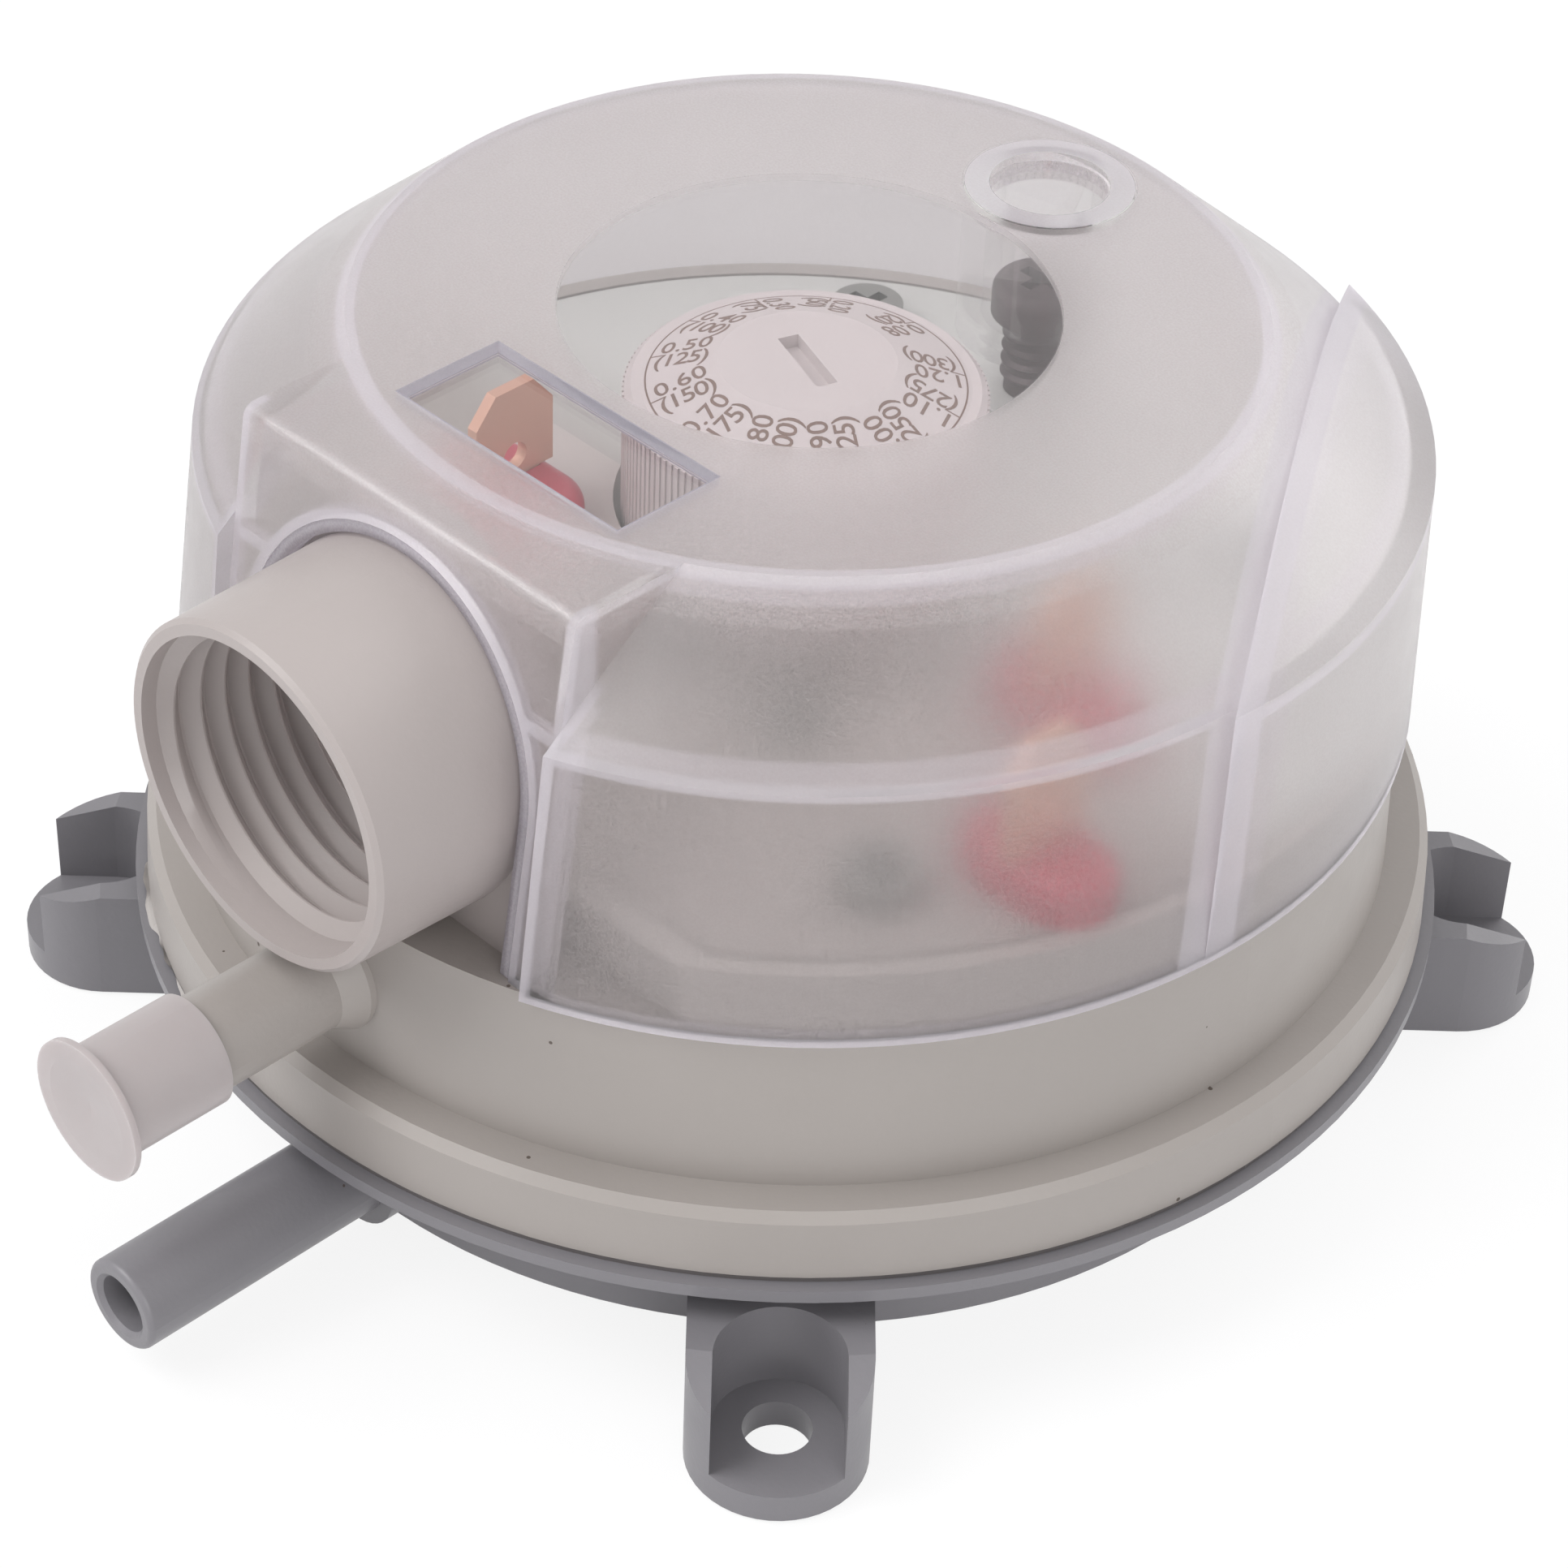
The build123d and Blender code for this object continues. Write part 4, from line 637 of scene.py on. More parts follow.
def clear_plastic(name, tint, frost):
    """The clear moulding: frosted with a milky share, polished windows, and milky edges of painted
    light.
    """
    material, tree, output = new_material(name)
    clear, edges, tube_wall, high, recess = cover_masks(tree)
    shader = tree.nodes.new("ShaderNodeBsdfPrincipled")
    shader.inputs["Base Color"].default_value = linear(tint)
    shader.inputs["IOR"].default_value = CLEAR_IOR
    shader.inputs["Transmission Weight"].default_value = 1.0
    rough = tree.nodes.new("ShaderNodeMix")
    rough.inputs["B"].default_value = POLISHED_ROUGH
    tree.links.new(clear, rough.inputs["Factor"])
    frosting = remap(tree, object_noise(tree, FROST_SCALE), frost - FROST_SPREAD, frost + FROST_SPREAD)
    tree.links.new(frosting, rough.inputs["A"])
    tree.links.new(rough.outputs["Result"], shader.inputs["Roughness"])
    bump = tree.nodes.new("ShaderNodeBump")
    bump.inputs["Distance"].default_value = WAVE_DEPTH
    tree.links.new(calculate(tree, "SUBTRACT", 1.0, clear), bump.inputs["Strength"])
    tree.links.new(object_noise(tree, WAVE_SCALE, 2.0), bump.inputs["Height"])
    tree.links.new(bump.outputs["Normal"], shader.inputs["Normal"])
    specks = object_noise(tree, SPECKLE_SCALE, 1.0)
    speckle = remap(tree, specks, MILK_SHARE * SPECKLE_LOW, MILK_SHARE * SPECKLE_HIGH)
    thicker = calculate(tree, "ADD", 1.0, calculate(tree, "MULTIPLY", high, TOP_EXTRA))
    frosted = both(tree, calculate(tree, "SUBTRACT", 1.0, clear), speckle, thicker)
    surface = mix_shaders(tree, frosted, shader.outputs[0], hazy(tree, MILK_TONE))
    # Painted light along the edges: a paler milky haze mixed in.
    edge_light_share = calculate(tree, "MULTIPLY", edges, EDGE_LIGHT_SHARE)
    surface = mix_shaders(tree, edge_light_share, surface, hazy(tree, EDGE_LIGHT_TONE))
    recess_share = calculate(tree, "MULTIPLY", recess, RECESS_SHARE)
    surface = mix_shaders(tree, recess_share, surface, hazy(tree, RECESS_TONE))
    straight = tree.nodes.new("ShaderNodeBsdfTransparent")
    straight_share = calculate(tree, "MULTIPLY", tube_wall, TUBE_STRAIGHT)
    surface = mix_shaders(tree, straight_share, surface, straight.outputs[0])
    let_by = tree.nodes.new("ShaderNodeBsdfTransparent")
    let_by.inputs["Color"].default_value = (SHADOW_LIGHT, SHADOW_LIGHT, SHADOW_LIGHT, 1.0)
    path = tree.nodes.new("ShaderNodeLightPath")
    surface = mix_shaders(tree, path.outputs["Is Shadow Ray"], surface, let_by.outputs[0])
    tree.links.new(surface, output.inputs["Surface"])
    return material


dress("cover", clear_plastic("frosted_clear", (229, 226, 227), FROST_ROUGH))
print("cover finish ready")

# %% [markdown]
# The cap on the upper nipple is soft and waxy: light enters and scatters, so the nipple inside
# shows only as a tone. Subsurface light with a little transmission gives that, without a second
# shell.

# %% Waxy cap
WAX_SUBSURFACE = 0.55
WAX_REACH = (1.0, 0.9, 0.9)
WAX_DEPTH = 1.2 * MM
WAX_THROUGH = 0.25
WAX_GLOSS_SCALE = 300.0
WAX_ROUGH = (0.34, 0.46)
WAX_GRAIN = 1800.0
WAX_GRAIN_DEPTH = 0.02 * MM


def waxy(name, colour):
    """Soft translucent plastic."""
    material, tree, output = new_material(name)
    shader = tree.nodes.new("ShaderNodeBsdfPrincipled")
    shader.inputs["Base Color"].default_value = linear(colour)
    shader.inputs["Subsurface Weight"].default_value = WAX_SUBSURFACE
    shader.inputs["Subsurface Radius"].default_value = WAX_REACH
    shader.inputs["Subsurface Scale"].default_value = WAX_DEPTH
    shader.inputs["Transmission Weight"].default_value = WAX_THROUGH
    gloss = remap(tree, object_noise(tree, WAX_GLOSS_SCALE), *WAX_ROUGH)
    tree.links.new(gloss, shader.inputs["Roughness"])
    add_grain(tree, shader, WAX_GRAIN, WAX_GRAIN_DEPTH)
    tree.links.new(shader.outputs[0], output.inputs["Surface"])
    return material


dress("nipple_cap", waxy("cap_wax", (188, 180, 180)))
print("cap finish ready")

# %% [markdown]
# Next come the fine pieces. Several of them repeat round an axis or run along a helix, which is
# what Geometry Nodes are good at. The helpers below build a tree with named inputs, set them on
# the modifier, and turn the result into a plain mesh, because the saved model drops instances.

# %% Geometry Nodes helpers


class Recipe:
    """A Geometry Nodes tree under construction."""

    def __init__(self, name):
        self.tree = bpy.data.node_groups.new(name, "GeometryNodeTree")
        self.tree.interface.new_socket("Geometry", in_out="INPUT", socket_type="NodeSocketGeometry")
        self.tree.interface.new_socket("Geometry", in_out="OUTPUT", socket_type="NodeSocketGeometry")
        self.group_in = self.tree.nodes.new("NodeGroupInput")
        self.group_out = self.tree.nodes.new("NodeGroupOutput")
        self.values = {}

    def size(self, name, value, kind="NodeSocketFloat"):
        """A named input with the value it will be given."""
        socket = self.tree.interface.new_socket(name, in_out="INPUT", socket_type=kind)
        self.values[socket.identifier] = value
        return self.group_in.outputs[name]

    def node(self, kind, **links):
        """Adds a node; each keyword names an input with a socket or a value."""
        made = self.tree.nodes.new(kind)
        for key, value in links.items():
            target = made.inputs[key.replace("_", " ")]
            if isinstance(value, bpy.types.NodeSocket):
                self.tree.links.new(value, target)
            else:
                target.default_value = value
        return made

    def maths(self, operation, first, second):
        """One maths node of two values."""
        made = self.tree.nodes.new("ShaderNodeMath")
        made.operation = operation
        for index, value in enumerate((first, second)):
            if isinstance(value, bpy.types.NodeSocket):
                self.tree.links.new(value, made.inputs[index])
            else:
                made.inputs[index].default_value = value
        return made.outputs[0]

    def finish(self, geometry, material):
        """Ends the tree in Realize Instances and Set Material."""
        real = self.node("GeometryNodeRealizeInstances", Geometry=geometry)
        painted = self.node("GeometryNodeSetMaterial", Geometry=real.outputs["Geometry"])
        painted.inputs["Material"].default_value = material
        self.tree.links.new(painted.outputs["Geometry"], self.group_out.inputs["Geometry"])

    def bake(self, name, material):
        """Runs the tree and returns a plain mesh object."""
        seed_mesh = bpy.data.meshes.new(name + "_seed")
        carrier = add_object(name + "_seed", seed_mesh)
        modifier = carrier.modifiers.new("recipe", "NODES")
        modifier.node_group = self.tree
        for identifier, value in self.values.items():
            modifier[identifier] = value
        graph = bpy.context.evaluated_depsgraph_get()
        mesh = bpy.data.meshes.new_from_object(carrier.evaluated_get(graph))
        mesh.name = name
        bpy.data.objects.remove(carrier)
        if material.name not in [m.name for m in mesh.materials if m]:
            mesh.materials.append(material)
        return add_object(name, mesh)


def place_mesh(piece, matrix):
    """Moves the mesh itself, so that the object stays at the origin."""
    piece.data.transform(matrix)
    piece.data.update()


def report(piece):
    """Says what a piece came to."""
    print(piece.name, "faces", len(piece.data.polygons))


print("recipe helpers ready")

# %% [markdown]
# The skirt of the dial is fluted for the fingers: about one hundred and thirty fine ribs.
# Each rib could be cut into the solid, but that would cost thousands of faces for a texture.
# A rib is instanced on the points of a circle and turned outward by the point's own position.

# %% Dial ribs
DIAL_R = 11.3 * MM
RIB_COUNT = 130
RIB_WIDTH = 0.34 * MM
RIB_DEPTH = 0.24 * MM
RIB_LOW_Z = 36.0 * MM
RIB_HIGH_Z = 45.65 * MM


def make_dial_ribs():
    """Fine ribs round the skirt of the dial."""
    recipe = Recipe("dial_ribs_recipe")
    count = recipe.size("Rib Count", RIB_COUNT, "NodeSocketInt")
    radius = recipe.size("Skirt Radius", DIAL_R)
    width = recipe.size("Rib Width", RIB_WIDTH)
    depth = recipe.size("Rib Depth", RIB_DEPTH)
    height = recipe.size("Rib Height", RIB_HIGH_Z - RIB_LOW_Z)
    ring = recipe.node("GeometryNodeMeshCircle", Vertices=count, Radius=radius)
    box = recipe.node("GeometryNodeMeshCube", Vertices_X=2, Vertices_Y=2, Vertices_Z=2)
    extent = recipe.node("ShaderNodeCombineXYZ", X=depth, Y=width, Z=height)
    recipe.tree.links.new(extent.outputs[0], box.inputs["Size"])
    place = recipe.node("GeometryNodeInputPosition")
    turn = recipe.node("FunctionNodeAlignRotationToVector", Vector=place.outputs[0])
    turn.axis = "X"
    turn.pivot_axis = "Z"
    ribs = recipe.node(
        "GeometryNodeInstanceOnPoints",
        Points=ring.outputs["Mesh"],
        Instance=box.outputs["Mesh"],
        Rotation=turn.outputs[0],
    )
    recipe.finish(ribs.outputs["Instances"], dial_white)
    piece = recipe.bake("dial_ribs", dial_white)
    place_mesh(piece, Matrix.Translation((0, 0, (RIB_LOW_Z + RIB_HIGH_Z) / 2)))
    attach(piece, "setting_dial")
    return piece


report(make_dial_ribs())

# %% [markdown]
# Geometry Nodes give the ridge of a thread as strips of points. A closed ridge needs faces
# between them and at both ends, and a crest that stays sharp when the flanks are shaded smooth.

# %% Closing a ridge
SHARP_ANGLE = math.radians(25.0)


def close_ridge(mesh, strip_count, material):
    """Joins the strips of points into one closed ridge."""
    points = [v.co.copy() for v in mesh.vertices]
    length = len(points) // strip_count
    faces = []
    for step in range(length - 1):
        for strip in range(strip_count):
            after = (strip + 1) % strip_count
            faces.append((
                strip * length + step,
                strip * length + step + 1,
                after * length + step + 1,
                after * length + step,
            ))
    faces.append([strip * length for strip in range(strip_count)])
    faces.append([strip * length + length - 1 for strip in reversed(range(strip_count))])
    mesh.clear_geometry()
    mesh.from_pydata(points, [], faces)
    mesh.materials.clear()
    mesh.materials.append(material)
    tidy = bmesh.new()
    tidy.from_mesh(mesh)
    bmesh.ops.recalc_face_normals(tidy, faces=tidy.faces)
    for face in tidy.faces:
        face.smooth = True
    for edge in tidy.edges:
        edge.smooth = edge.calc_face_angle(0.0) < SHARP_ANGLE
    tidy.to_mesh(mesh)
    tidy.free()


print("sharp from degrees", round(math.degrees(SHARP_ANGLE)))

# %% [markdown]
# A thread is a ridge with a narrow crest that climbs a helix and fades out at both ends. Four
# strips of points, two at the root and two at the crest, follow the helix, and the same recipe
# serves the conduit entry, whose ridge points inward, and the cover screw, whose ridge points
# outward. A section swept along a spiral curve would twist as it climbs; the strips don't.

# %% Thread recipe
TURN_STEPS = 72
RUN_OUT = 0.3
CREST_SHIFT = 0.07


def make_thread(name, material, turns, pitch, root_r, crest_r, width):
    """A ridge along a helix about +Z that starts at height 0."""
    recipe = Recipe(name + "_recipe")
    turn_count = recipe.size("Turns", turns)
    rise = recipe.size("Length", turns * pitch)
    root = recipe.size("Root Radius", root_r)
    crest = recipe.size("Crest Radius", crest_r)
    foot = recipe.size("Ridge Width", width)
    steps = recipe.maths("MULTIPLY", turn_count, float(TURN_STEPS))
    line = recipe.node("GeometryNodeMeshLine", Offset=(0.0, 0.0, 0.0))
    line.mode = "OFFSET"
    recipe.tree.links.new(steps, line.inputs["Count"])
    index = recipe.node("GeometryNodeInputIndex").outputs[0]
    angle = recipe.maths("MULTIPLY", index, math.tau / TURN_STEPS)
    share = recipe.maths("DIVIDE", index, steps)
    climb = recipe.maths("MULTIPLY", share, rise)
    half = recipe.maths("MULTIPLY", foot, 0.5)
    from_start = recipe.maths("MINIMUM", recipe.maths("DIVIDE", index, TURN_STEPS * RUN_OUT), 1.0)
    to_end = recipe.maths("DIVIDE", recipe.maths("SUBTRACT", steps, index), TURN_STEPS * RUN_OUT)
    ease = recipe.maths("MINIMUM", from_start, to_end)
    full = recipe.maths("SUBTRACT", crest, root)
    crest = recipe.maths("ADD", root, recipe.maths("MULTIPLY", full, ease))
    strips = []
    for radius, shift in ((root, -1.0), (crest, -CREST_SHIFT), (crest, CREST_SHIFT), (root, 1.0)):
        level = recipe.maths("ADD", climb, recipe.maths("MULTIPLY", half, shift))
        across = recipe.maths("MULTIPLY", recipe.maths("COSINE", angle, 0.0), radius)
        beside = recipe.maths("MULTIPLY", recipe.maths("SINE", angle, 0.0), radius)
        point = recipe.node("ShaderNodeCombineXYZ", X=across, Y=beside, Z=level)
        moved = recipe.node(
            "GeometryNodeSetPosition",
            Geometry=line.outputs["Mesh"],
            Position=point.outputs[0],
        )
        strips.append(moved.outputs["Geometry"])
    joined = recipe.tree.nodes.new("GeometryNodeJoinGeometry")
    for strip in reversed(strips):
        recipe.tree.links.new(strip, joined.inputs["Geometry"])
    recipe.finish(joined.outputs["Geometry"], material)
    piece = recipe.bake(name, material)
    close_ridge(piece.data, len(strips), material)
    return piece


print("thread recipe ready")

# %% [markdown]
# The conduit entry has a half inch pipe thread with a smooth ring before it. The ridge stands
# on the bore of the solid and its ends are buried in the wall of the bore.

# %% Conduit thread
BORE_R = 10.25 * MM
THREAD_CREST_R = 9.35 * MM
THREAD_PITCH = 1.814 * MM
THREAD_START_Y = -43.0 * MM
THREAD_TURNS = 6.0
THREAD_START_TURN = math.radians(100.0)
THREAD_FOOT = THREAD_PITCH * 0.96
WALL_BITE = 0.06 * MM

conduit_thread = make_thread(
    "conduit_thread",
    hub_beige,
    THREAD_TURNS,
    THREAD_PITCH,
    BORE_R + WALL_BITE,
    THREAD_CREST_R,
    THREAD_FOOT,
)
thread_turn = Matrix.Rotation(-math.pi / 2, 4, "X") @ Matrix.Rotation(THREAD_START_TURN, 4, "Z")
place_mesh(conduit_thread, Matrix.Translation((0, THREAD_START_Y, HUB_Z)) @ thread_turn)
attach(conduit_thread, "housing")
report(conduit_thread)

# %% [markdown]
# The cover screw shows a stretch of thread between the clear tube and the post of the deck.

# %% Cover screw thread
SCREW_R = 2.0 * MM
SCREW_CREST_R = 2.32 * MM
SCREW_PITCH = 1.0 * MM
SCREW_THREAD_LOW_Z = 37.1 * MM
SCREW_THREAD_TURNS = 4.0
SCREW_FOOT = SCREW_PITCH * 0.7

screw_thread = make_thread(
    "cover_screw_thread",
    screw_dark,
    SCREW_THREAD_TURNS,
    SCREW_PITCH,
    SCREW_R - WALL_BITE,
    SCREW_CREST_R,
    SCREW_FOOT,
)
place_mesh(screw_thread, Matrix.Translation((0, TUBE_Y, SCREW_THREAD_LOW_Z)))
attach(screw_thread, "captive_screw")
report(screw_thread)

# %% [markdown]
# The dial is printed in brown-grey: a circle, a short mark for each setting, and two plain
# numbers at each mark, one above it and one below it in brackets, with the bearing of each mark
# in degrees. The numbers read from the rim inward. A picture of the print would blur in a close
# view, so everything is a thin mesh that lies on the face.

# %% Dial print measures
PRINT_INK = satin("dial_ink", (122, 96, 84), rough=0.55, tone=0.02)
DIAL_RIM_Z = 46.1 * MM
DIAL_FLAT_Z = 47.9 * MM
DIAL_BAND_R = 10.3 * MM
DIAL_FLAT_R = 5.6 * MM
PRINT_THICK = 0.02 * MM
PRINT_CIRCLE_R = 10.0 * MM
PRINT_LINE = 0.11 * MM
MARK_LENGTH = 1.0 * MM
NUMBER_SIZE = 1.9 * MM
DECIMAL_PITCH = 1.02
BRACKET_PITCH = 0.88
NUMBER_BOLD = 0.012 * MM
NUMBER_START_R = 9.5 * MM
ROW_OFFSET = 0.90 * MM
SCALE = (
    ("0.08", "(20)", 92.0),
    ("0.20", "(50)", 126.0),
    ("0.30", "(75)", 154.5),
    ("0.40", "(100)", 183.0),
    ("0.50", "(125)", 211.7),
    ("0.60", "(150)", 241.5),
    ("0.70", "(175)", 270.3),
    ("0.80", "(200)", 299.2),
    ("0.90", "(225)", 328.0),
    ("1.00", "(250)", 356.9),
    ("1.10", "(275)", 385.7),
    ("1.20", "(300)", 412.9),
)
print("marks", len(SCALE))

# %% [markdown]
# The face slopes up from the rim to a flat middle, so flat print has to be lifted onto it. Text
# is turned into a mesh on the spot, because a curve can't be saved with the model.

# %% Print helpers
TEXT_ROUNDNESS = 3
WELD = 0.001 * MM


def drape(mesh):
    """Lifts flat print onto the sloping number band and the flat middle of the dial."""
    slope = (DIAL_FLAT_Z - DIAL_RIM_Z) / (DIAL_BAND_R - DIAL_FLAT_R)
    for point in mesh.vertices:
        radius = math.hypot(point.co.x, point.co.y)
        climb = min(max(DIAL_BAND_R - radius, 0.0), DIAL_BAND_R - DIAL_FLAT_R)
        point.co.z += DIAL_RIM_Z + climb * slope
    mesh.update()


def text_mesh(words, size, pitch):
    """A thin mesh of the words on the XY plane, from x = 0 on, its rows centred on y = 0."""
    curve = bpy.data.curves.new("words", "FONT")
    curve.body = words
    curve.size = size
    curve.space_character = pitch
    curve.extrude = PRINT_THICK / 2
    curve.resolution_u = TEXT_ROUNDNESS
    curve.offset = NUMBER_BOLD
    carrier = add_object("words", curve)
    graph = bpy.context.evaluated_depsgraph_get()
    mesh = bpy.data.meshes.new_from_object(carrier.evaluated_get(graph))
    bpy.data.objects.remove(carrier)
    bpy.data.curves.remove(curve)
    heights = [point.co.y for point in mesh.vertices]
    starts = min(point.co.x for point in mesh.vertices)
    mesh.transform(Matrix.Translation((-starts, -(min(heights) + max(heights)) / 2, 0)))
    return mesh


def join_meshes(name, meshes, material):
    """One object from several placed meshes."""
    whole = bmesh.new()
    for mesh in meshes:
        whole.from_mesh(mesh)
    bmesh.ops.remove_doubles(whole, verts=whole.verts, dist=WELD)
    mesh = bpy.data.meshes.new(name)
    whole.to_mesh(mesh)
    whole.free()
    mesh.materials.append(material)
    for face in mesh.polygons:
        face.material_index = 0
    return add_object(name, mesh)


print("print helpers ready")

# %% [markdown]
# The numbers stand on both sides of their mark, with their feet towards the next mark. Real
# printing is a film of ink that follows the face, and so do these.

# %% Dial numbers


def make_dial_numbers():
    """Two rows of numbers at every mark."""
    meshes = []
    for upper, lower, degrees in SCALE:
        turn = math.radians(degrees)
        spot = Matrix.Rotation(turn, 4, "Z") @ Matrix.Translation((NUMBER_START_R, 0, 0))
        spot = spot @ Matrix.Rotation(math.pi, 4, "Z")
        rows = ((upper, DECIMAL_PITCH, ROW_OFFSET), (lower, BRACKET_PITCH, -ROW_OFFSET))
        for words, pitch, shift in rows:
            mesh = text_mesh(words, NUMBER_SIZE, pitch)
            mesh.transform(spot @ Matrix.Translation((0, shift, PRINT_THICK / 2)))
            drape(mesh)
            meshes.append(mesh)
    return join_meshes("dial_numbers", meshes, PRINT_INK)


def ride_dial(piece):
    """Lets a piece of print turn with the dial."""
    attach(piece, "setting_dial")
    report(piece)


ride_dial(make_dial_numbers())

# %% [markdown]
# The circle and its marks repeat one bar round the axis, so a Geometry Nodes recipe makes them.

# %% Dial marks
CIRCLE_STEPS = 160


def make_dial_marks():
    """A thin circle with a short bar at every setting."""
    recipe = Recipe("dial_marks_recipe")
    circle_r = recipe.size("Circle Radius", PRINT_CIRCLE_R)
    line_width = recipe.size("Line Width", PRINT_LINE)
    length = recipe.size("Mark Length", MARK_LENGTH)
    thick = recipe.size("Print Thickness", PRINT_THICK)
    bar = recipe.node("GeometryNodeMeshCube", Vertices_X=2, Vertices_Y=2, Vertices_Z=2)
    extent = recipe.node("ShaderNodeCombineXYZ", X=length, Y=line_width, Z=thick)
    recipe.tree.links.new(extent.outputs[0], bar.inputs["Size"])
    middle = recipe.maths("SUBTRACT", circle_r, recipe.maths("MULTIPLY", length, 0.5))
    joined = recipe.tree.nodes.new("GeometryNodeJoinGeometry")
    for _, _, degrees in SCALE:
        turn = math.radians(degrees)
        point = recipe.node(
            "ShaderNodeCombineXYZ",
            X=recipe.maths("MULTIPLY", middle, math.cos(turn)),
            Y=recipe.maths("MULTIPLY", middle, math.sin(turn)),
        )
        moved = recipe.node(
            "GeometryNodeTransform",
            Geometry=bar.outputs["Mesh"],
            Translation=point.outputs[0],
        )
        moved.inputs["Rotation"].default_value = (0.0, 0.0, turn)
        recipe.tree.links.new(moved.outputs["Geometry"], joined.inputs["Geometry"])
    ring = recipe.node("GeometryNodeCurvePrimitiveCircle", Resolution=CIRCLE_STEPS)
    recipe.tree.links.new(circle_r, ring.inputs["Radius"])
    section = recipe.node("GeometryNodeCurvePrimitiveQuadrilateral")
    recipe.tree.links.new(line_width, section.inputs["Width"])
    recipe.tree.links.new(thick, section.inputs["Height"])
    band = recipe.node(
        "GeometryNodeCurveToMesh",
        Curve=ring.outputs["Curve"],
        Profile_Curve=section.outputs["Curve"],
    )
    recipe.tree.links.new(band.outputs["Mesh"], joined.inputs["Geometry"])
    recipe.finish(joined.outputs["Geometry"], PRINT_INK)
    piece = recipe.bake("dial_marks", PRINT_INK)
    drape(piece.data)
    return piece


ride_dial(make_dial_marks())

# %% [markdown]
# The cut-out of the cover has a lip that closes in on the conduit entry. It is a small bar that
# follows an arch and two legs, so a curve with a square section sweeps it, and the result
# leans back with the front of the cover.

# %% Lip of the cut-out
LIP_R = 12.28 * MM
LIP_WIDE = 0.80 * MM
LIP_DEEP = 1.20 * MM
LIP_FRONT_Y = -36.2 * MM
LIP_GAP = 0.1 * MM
LIP_STEPS = 40
FRONT_LEAN = (36.3 - 32.6) / (52.6 - 27.3)
LIP_ROUGH = 0.15

lip_milk = clear_plastic("lip_milk", (236, 232, 238), LIP_ROUGH)


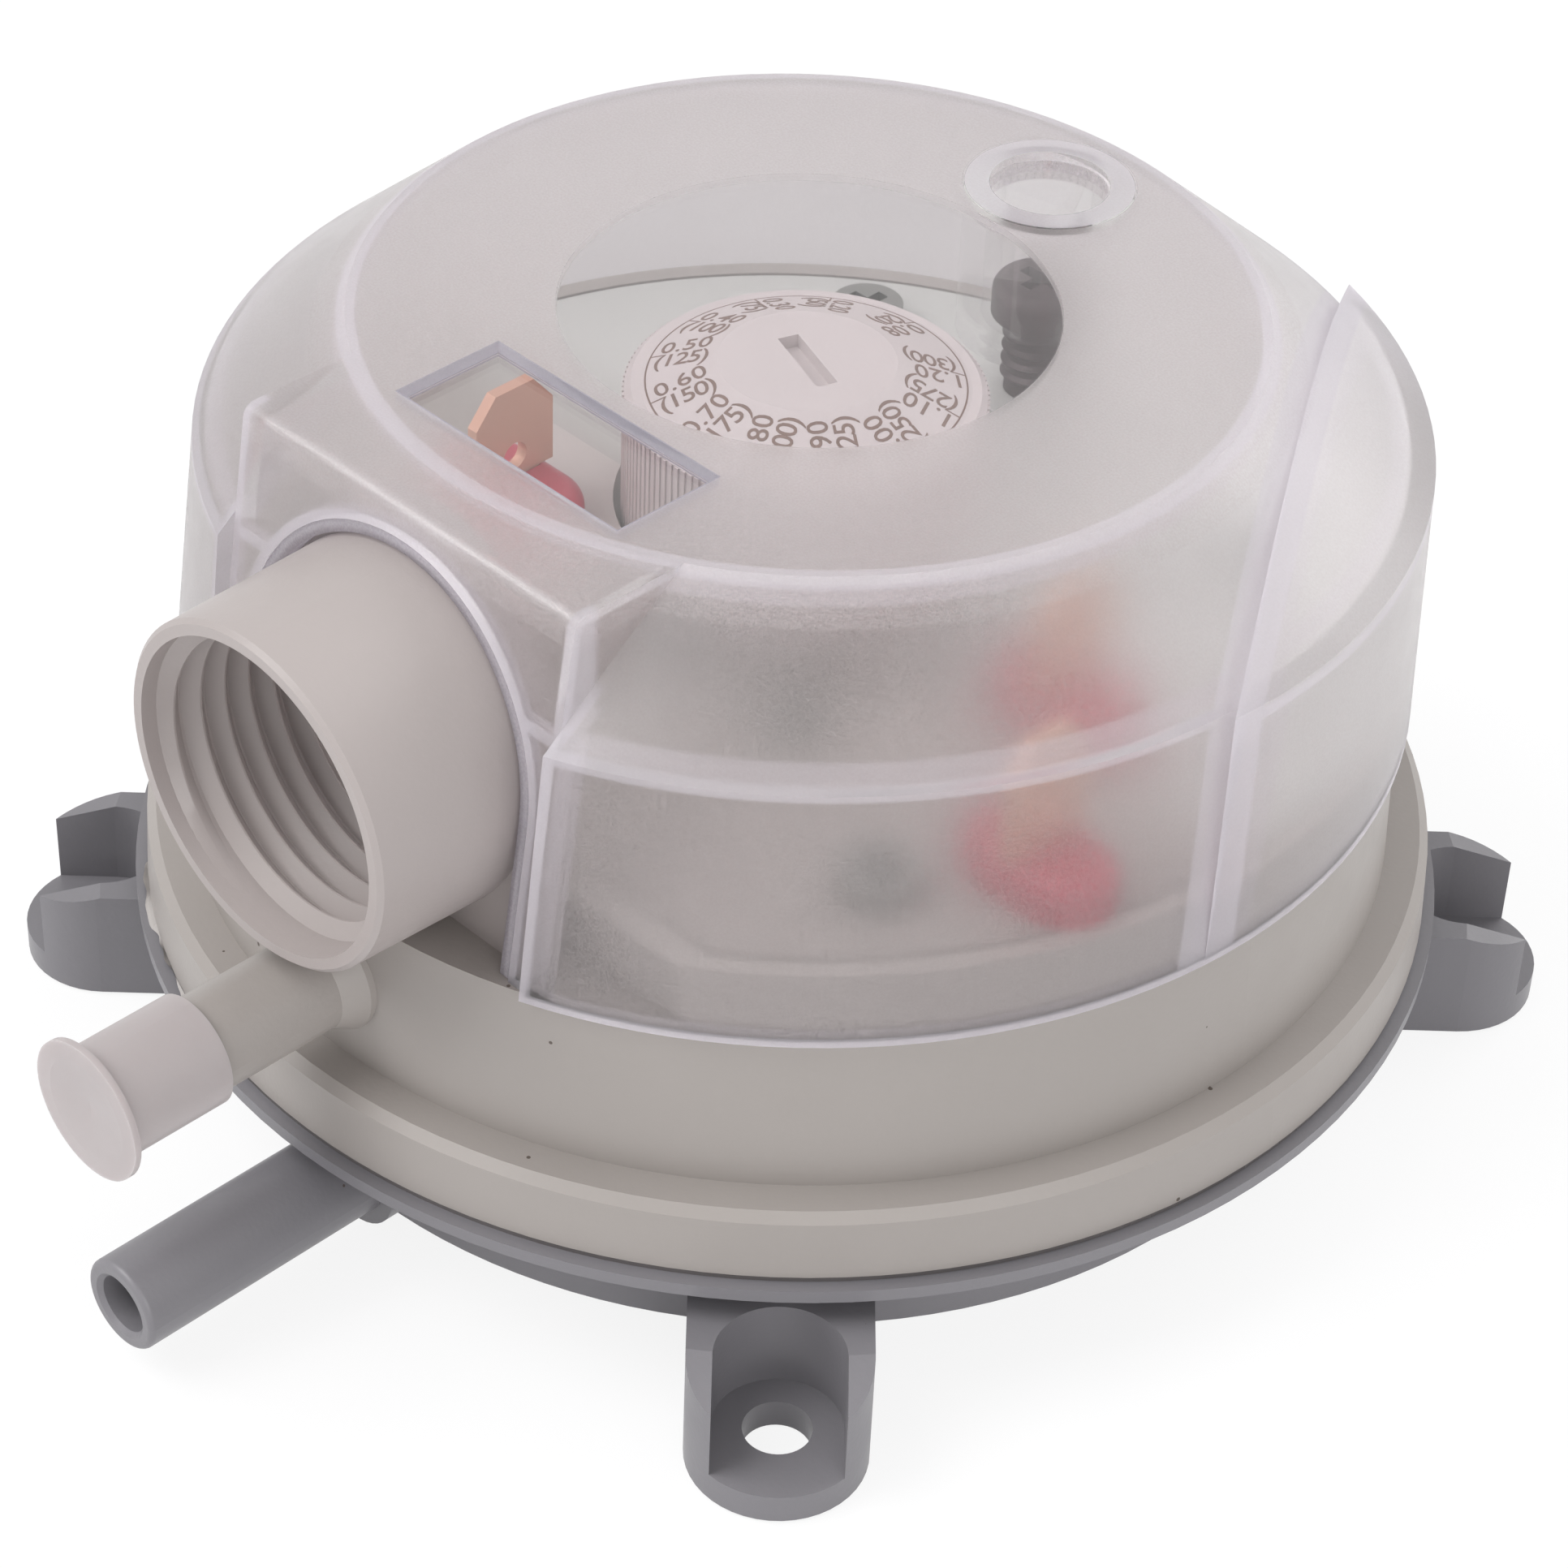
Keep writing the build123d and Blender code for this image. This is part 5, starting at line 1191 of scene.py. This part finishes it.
def make_cover_lip():
    """A bar that follows the arch of the cut-out and its two legs."""
    recipe = Recipe("cover_lip_recipe")
    radius = recipe.size("Arch Radius", LIP_R)
    leg = recipe.size("Leg Length", HUB_Z - COVER_LOW_Z - LIP_GAP)
    wide = recipe.size("Lip Width", LIP_WIDE)
    deep = recipe.size("Lip Depth", LIP_DEEP)
    arc = recipe.node("GeometryNodeCurveArc", Resolution=LIP_STEPS, Start_Angle=0.0, Sweep_Angle=math.pi)
    recipe.tree.links.new(radius, arc.inputs["Radius"])
    joined = recipe.tree.nodes.new("GeometryNodeJoinGeometry")
    recipe.tree.links.new(arc.outputs["Curve"], joined.inputs["Geometry"])
    down = recipe.maths("MULTIPLY", leg, -1.0)
    for sign in (1.0, -1.0):
        across = recipe.maths("MULTIPLY", radius, sign)
        top = recipe.node("ShaderNodeCombineXYZ", X=across, Y=0.0)
        low = recipe.node("ShaderNodeCombineXYZ", X=across, Y=down)
        line = recipe.node("GeometryNodeCurvePrimitiveLine", Start=top.outputs[0], End=low.outputs[0])
        recipe.tree.links.new(line.outputs["Curve"], joined.inputs["Geometry"])
    upright = recipe.node("GeometryNodeSetCurveNormal", Curve=joined.outputs["Geometry"])
    upright.inputs[0].node.mode = "Z_UP"
    section = recipe.node("GeometryNodeCurvePrimitiveQuadrilateral")
    recipe.tree.links.new(wide, section.inputs["Width"])
    recipe.tree.links.new(deep, section.inputs["Height"])
    bar = recipe.node(
        "GeometryNodeCurveToMesh",
        Curve=upright.outputs["Curve"],
        Profile_Curve=section.outputs["Curve"],
    )
    bar.inputs["Fill Caps"].default_value = True
    recipe.finish(bar.outputs["Mesh"], lip_milk)
    piece = recipe.bake("cover_lip", lip_milk)
    stand = Matrix.Rotation(math.pi / 2, 4, "X")
    place_mesh(piece, Matrix.Translation((0, LIP_FRONT_Y + LIP_DEEP / 2, HUB_Z)) @ stand)
    for point in piece.data.vertices:
        point.co.y += (point.co.z - COVER_LOW_Z) * FRONT_LEAN
    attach(piece, "clear_cover")
    return piece


report(make_cover_lip())

# %% [markdown]
# The film between the two housings sticks out at the left, torn and whitish. A narrow strip
# with an uneven outer edge shows that; its edge wanders by a fixed sum of waves.

# %% Torn film edge
FILM_EDGE_R = 42.35 * MM
FILM_EDGE_Z = 11.2 * MM
FILM_FROM = math.radians(232.0)
FILM_TO = math.radians(262.0)
FILM_STEPS = 60
FILM_OUT = 0.75 * MM
FILM_CURL = 0.22 * MM
FILM_LEAST = 0.08
TEAR_LEVEL = 0.45
TEAR_WAVES = ((0.30, 9, 0.4), (0.18, 31, 0.0), (0.10, 67, 1.0))


def make_film_flap():
    """The torn strip of film at the left."""
    points, faces = [], []
    for step in range(FILM_STEPS + 1):
        share = step / FILM_STEPS
        angle = FILM_FROM + (FILM_TO - FILM_FROM) * share
        tear = TEAR_LEVEL
        for size, waves, start in TEAR_WAVES:
            tear += size * math.sin(waves * share + start)
        out = FILM_OUT * max(tear, FILM_LEAST) * math.sin(math.pi * share) ** 0.4
        curl = FILM_CURL * math.sin(17 * share)
        rows = ((0.0, 0.0), (out * 0.5, curl * 0.4), (out, curl))
        for further, level in rows:
            radius = FILM_EDGE_R + further
            points.append((radius * math.cos(angle), radius * math.sin(angle), FILM_EDGE_Z + level))
    for step in range(FILM_STEPS):
        for row in range(2):
            first = step * 3 + row
            faces.append((first, first + 3, first + 4, first + 1))
    mesh = bpy.data.meshes.new("film_flap")
    mesh.from_pydata(points, [], faces)
    mesh.materials.append(satin("film_white", (170, 165, 162), rough=0.3, tone=0.2))
    piece = add_object("film_flap", mesh)
    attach(piece, "housing")
    return piece


report(make_film_flap())
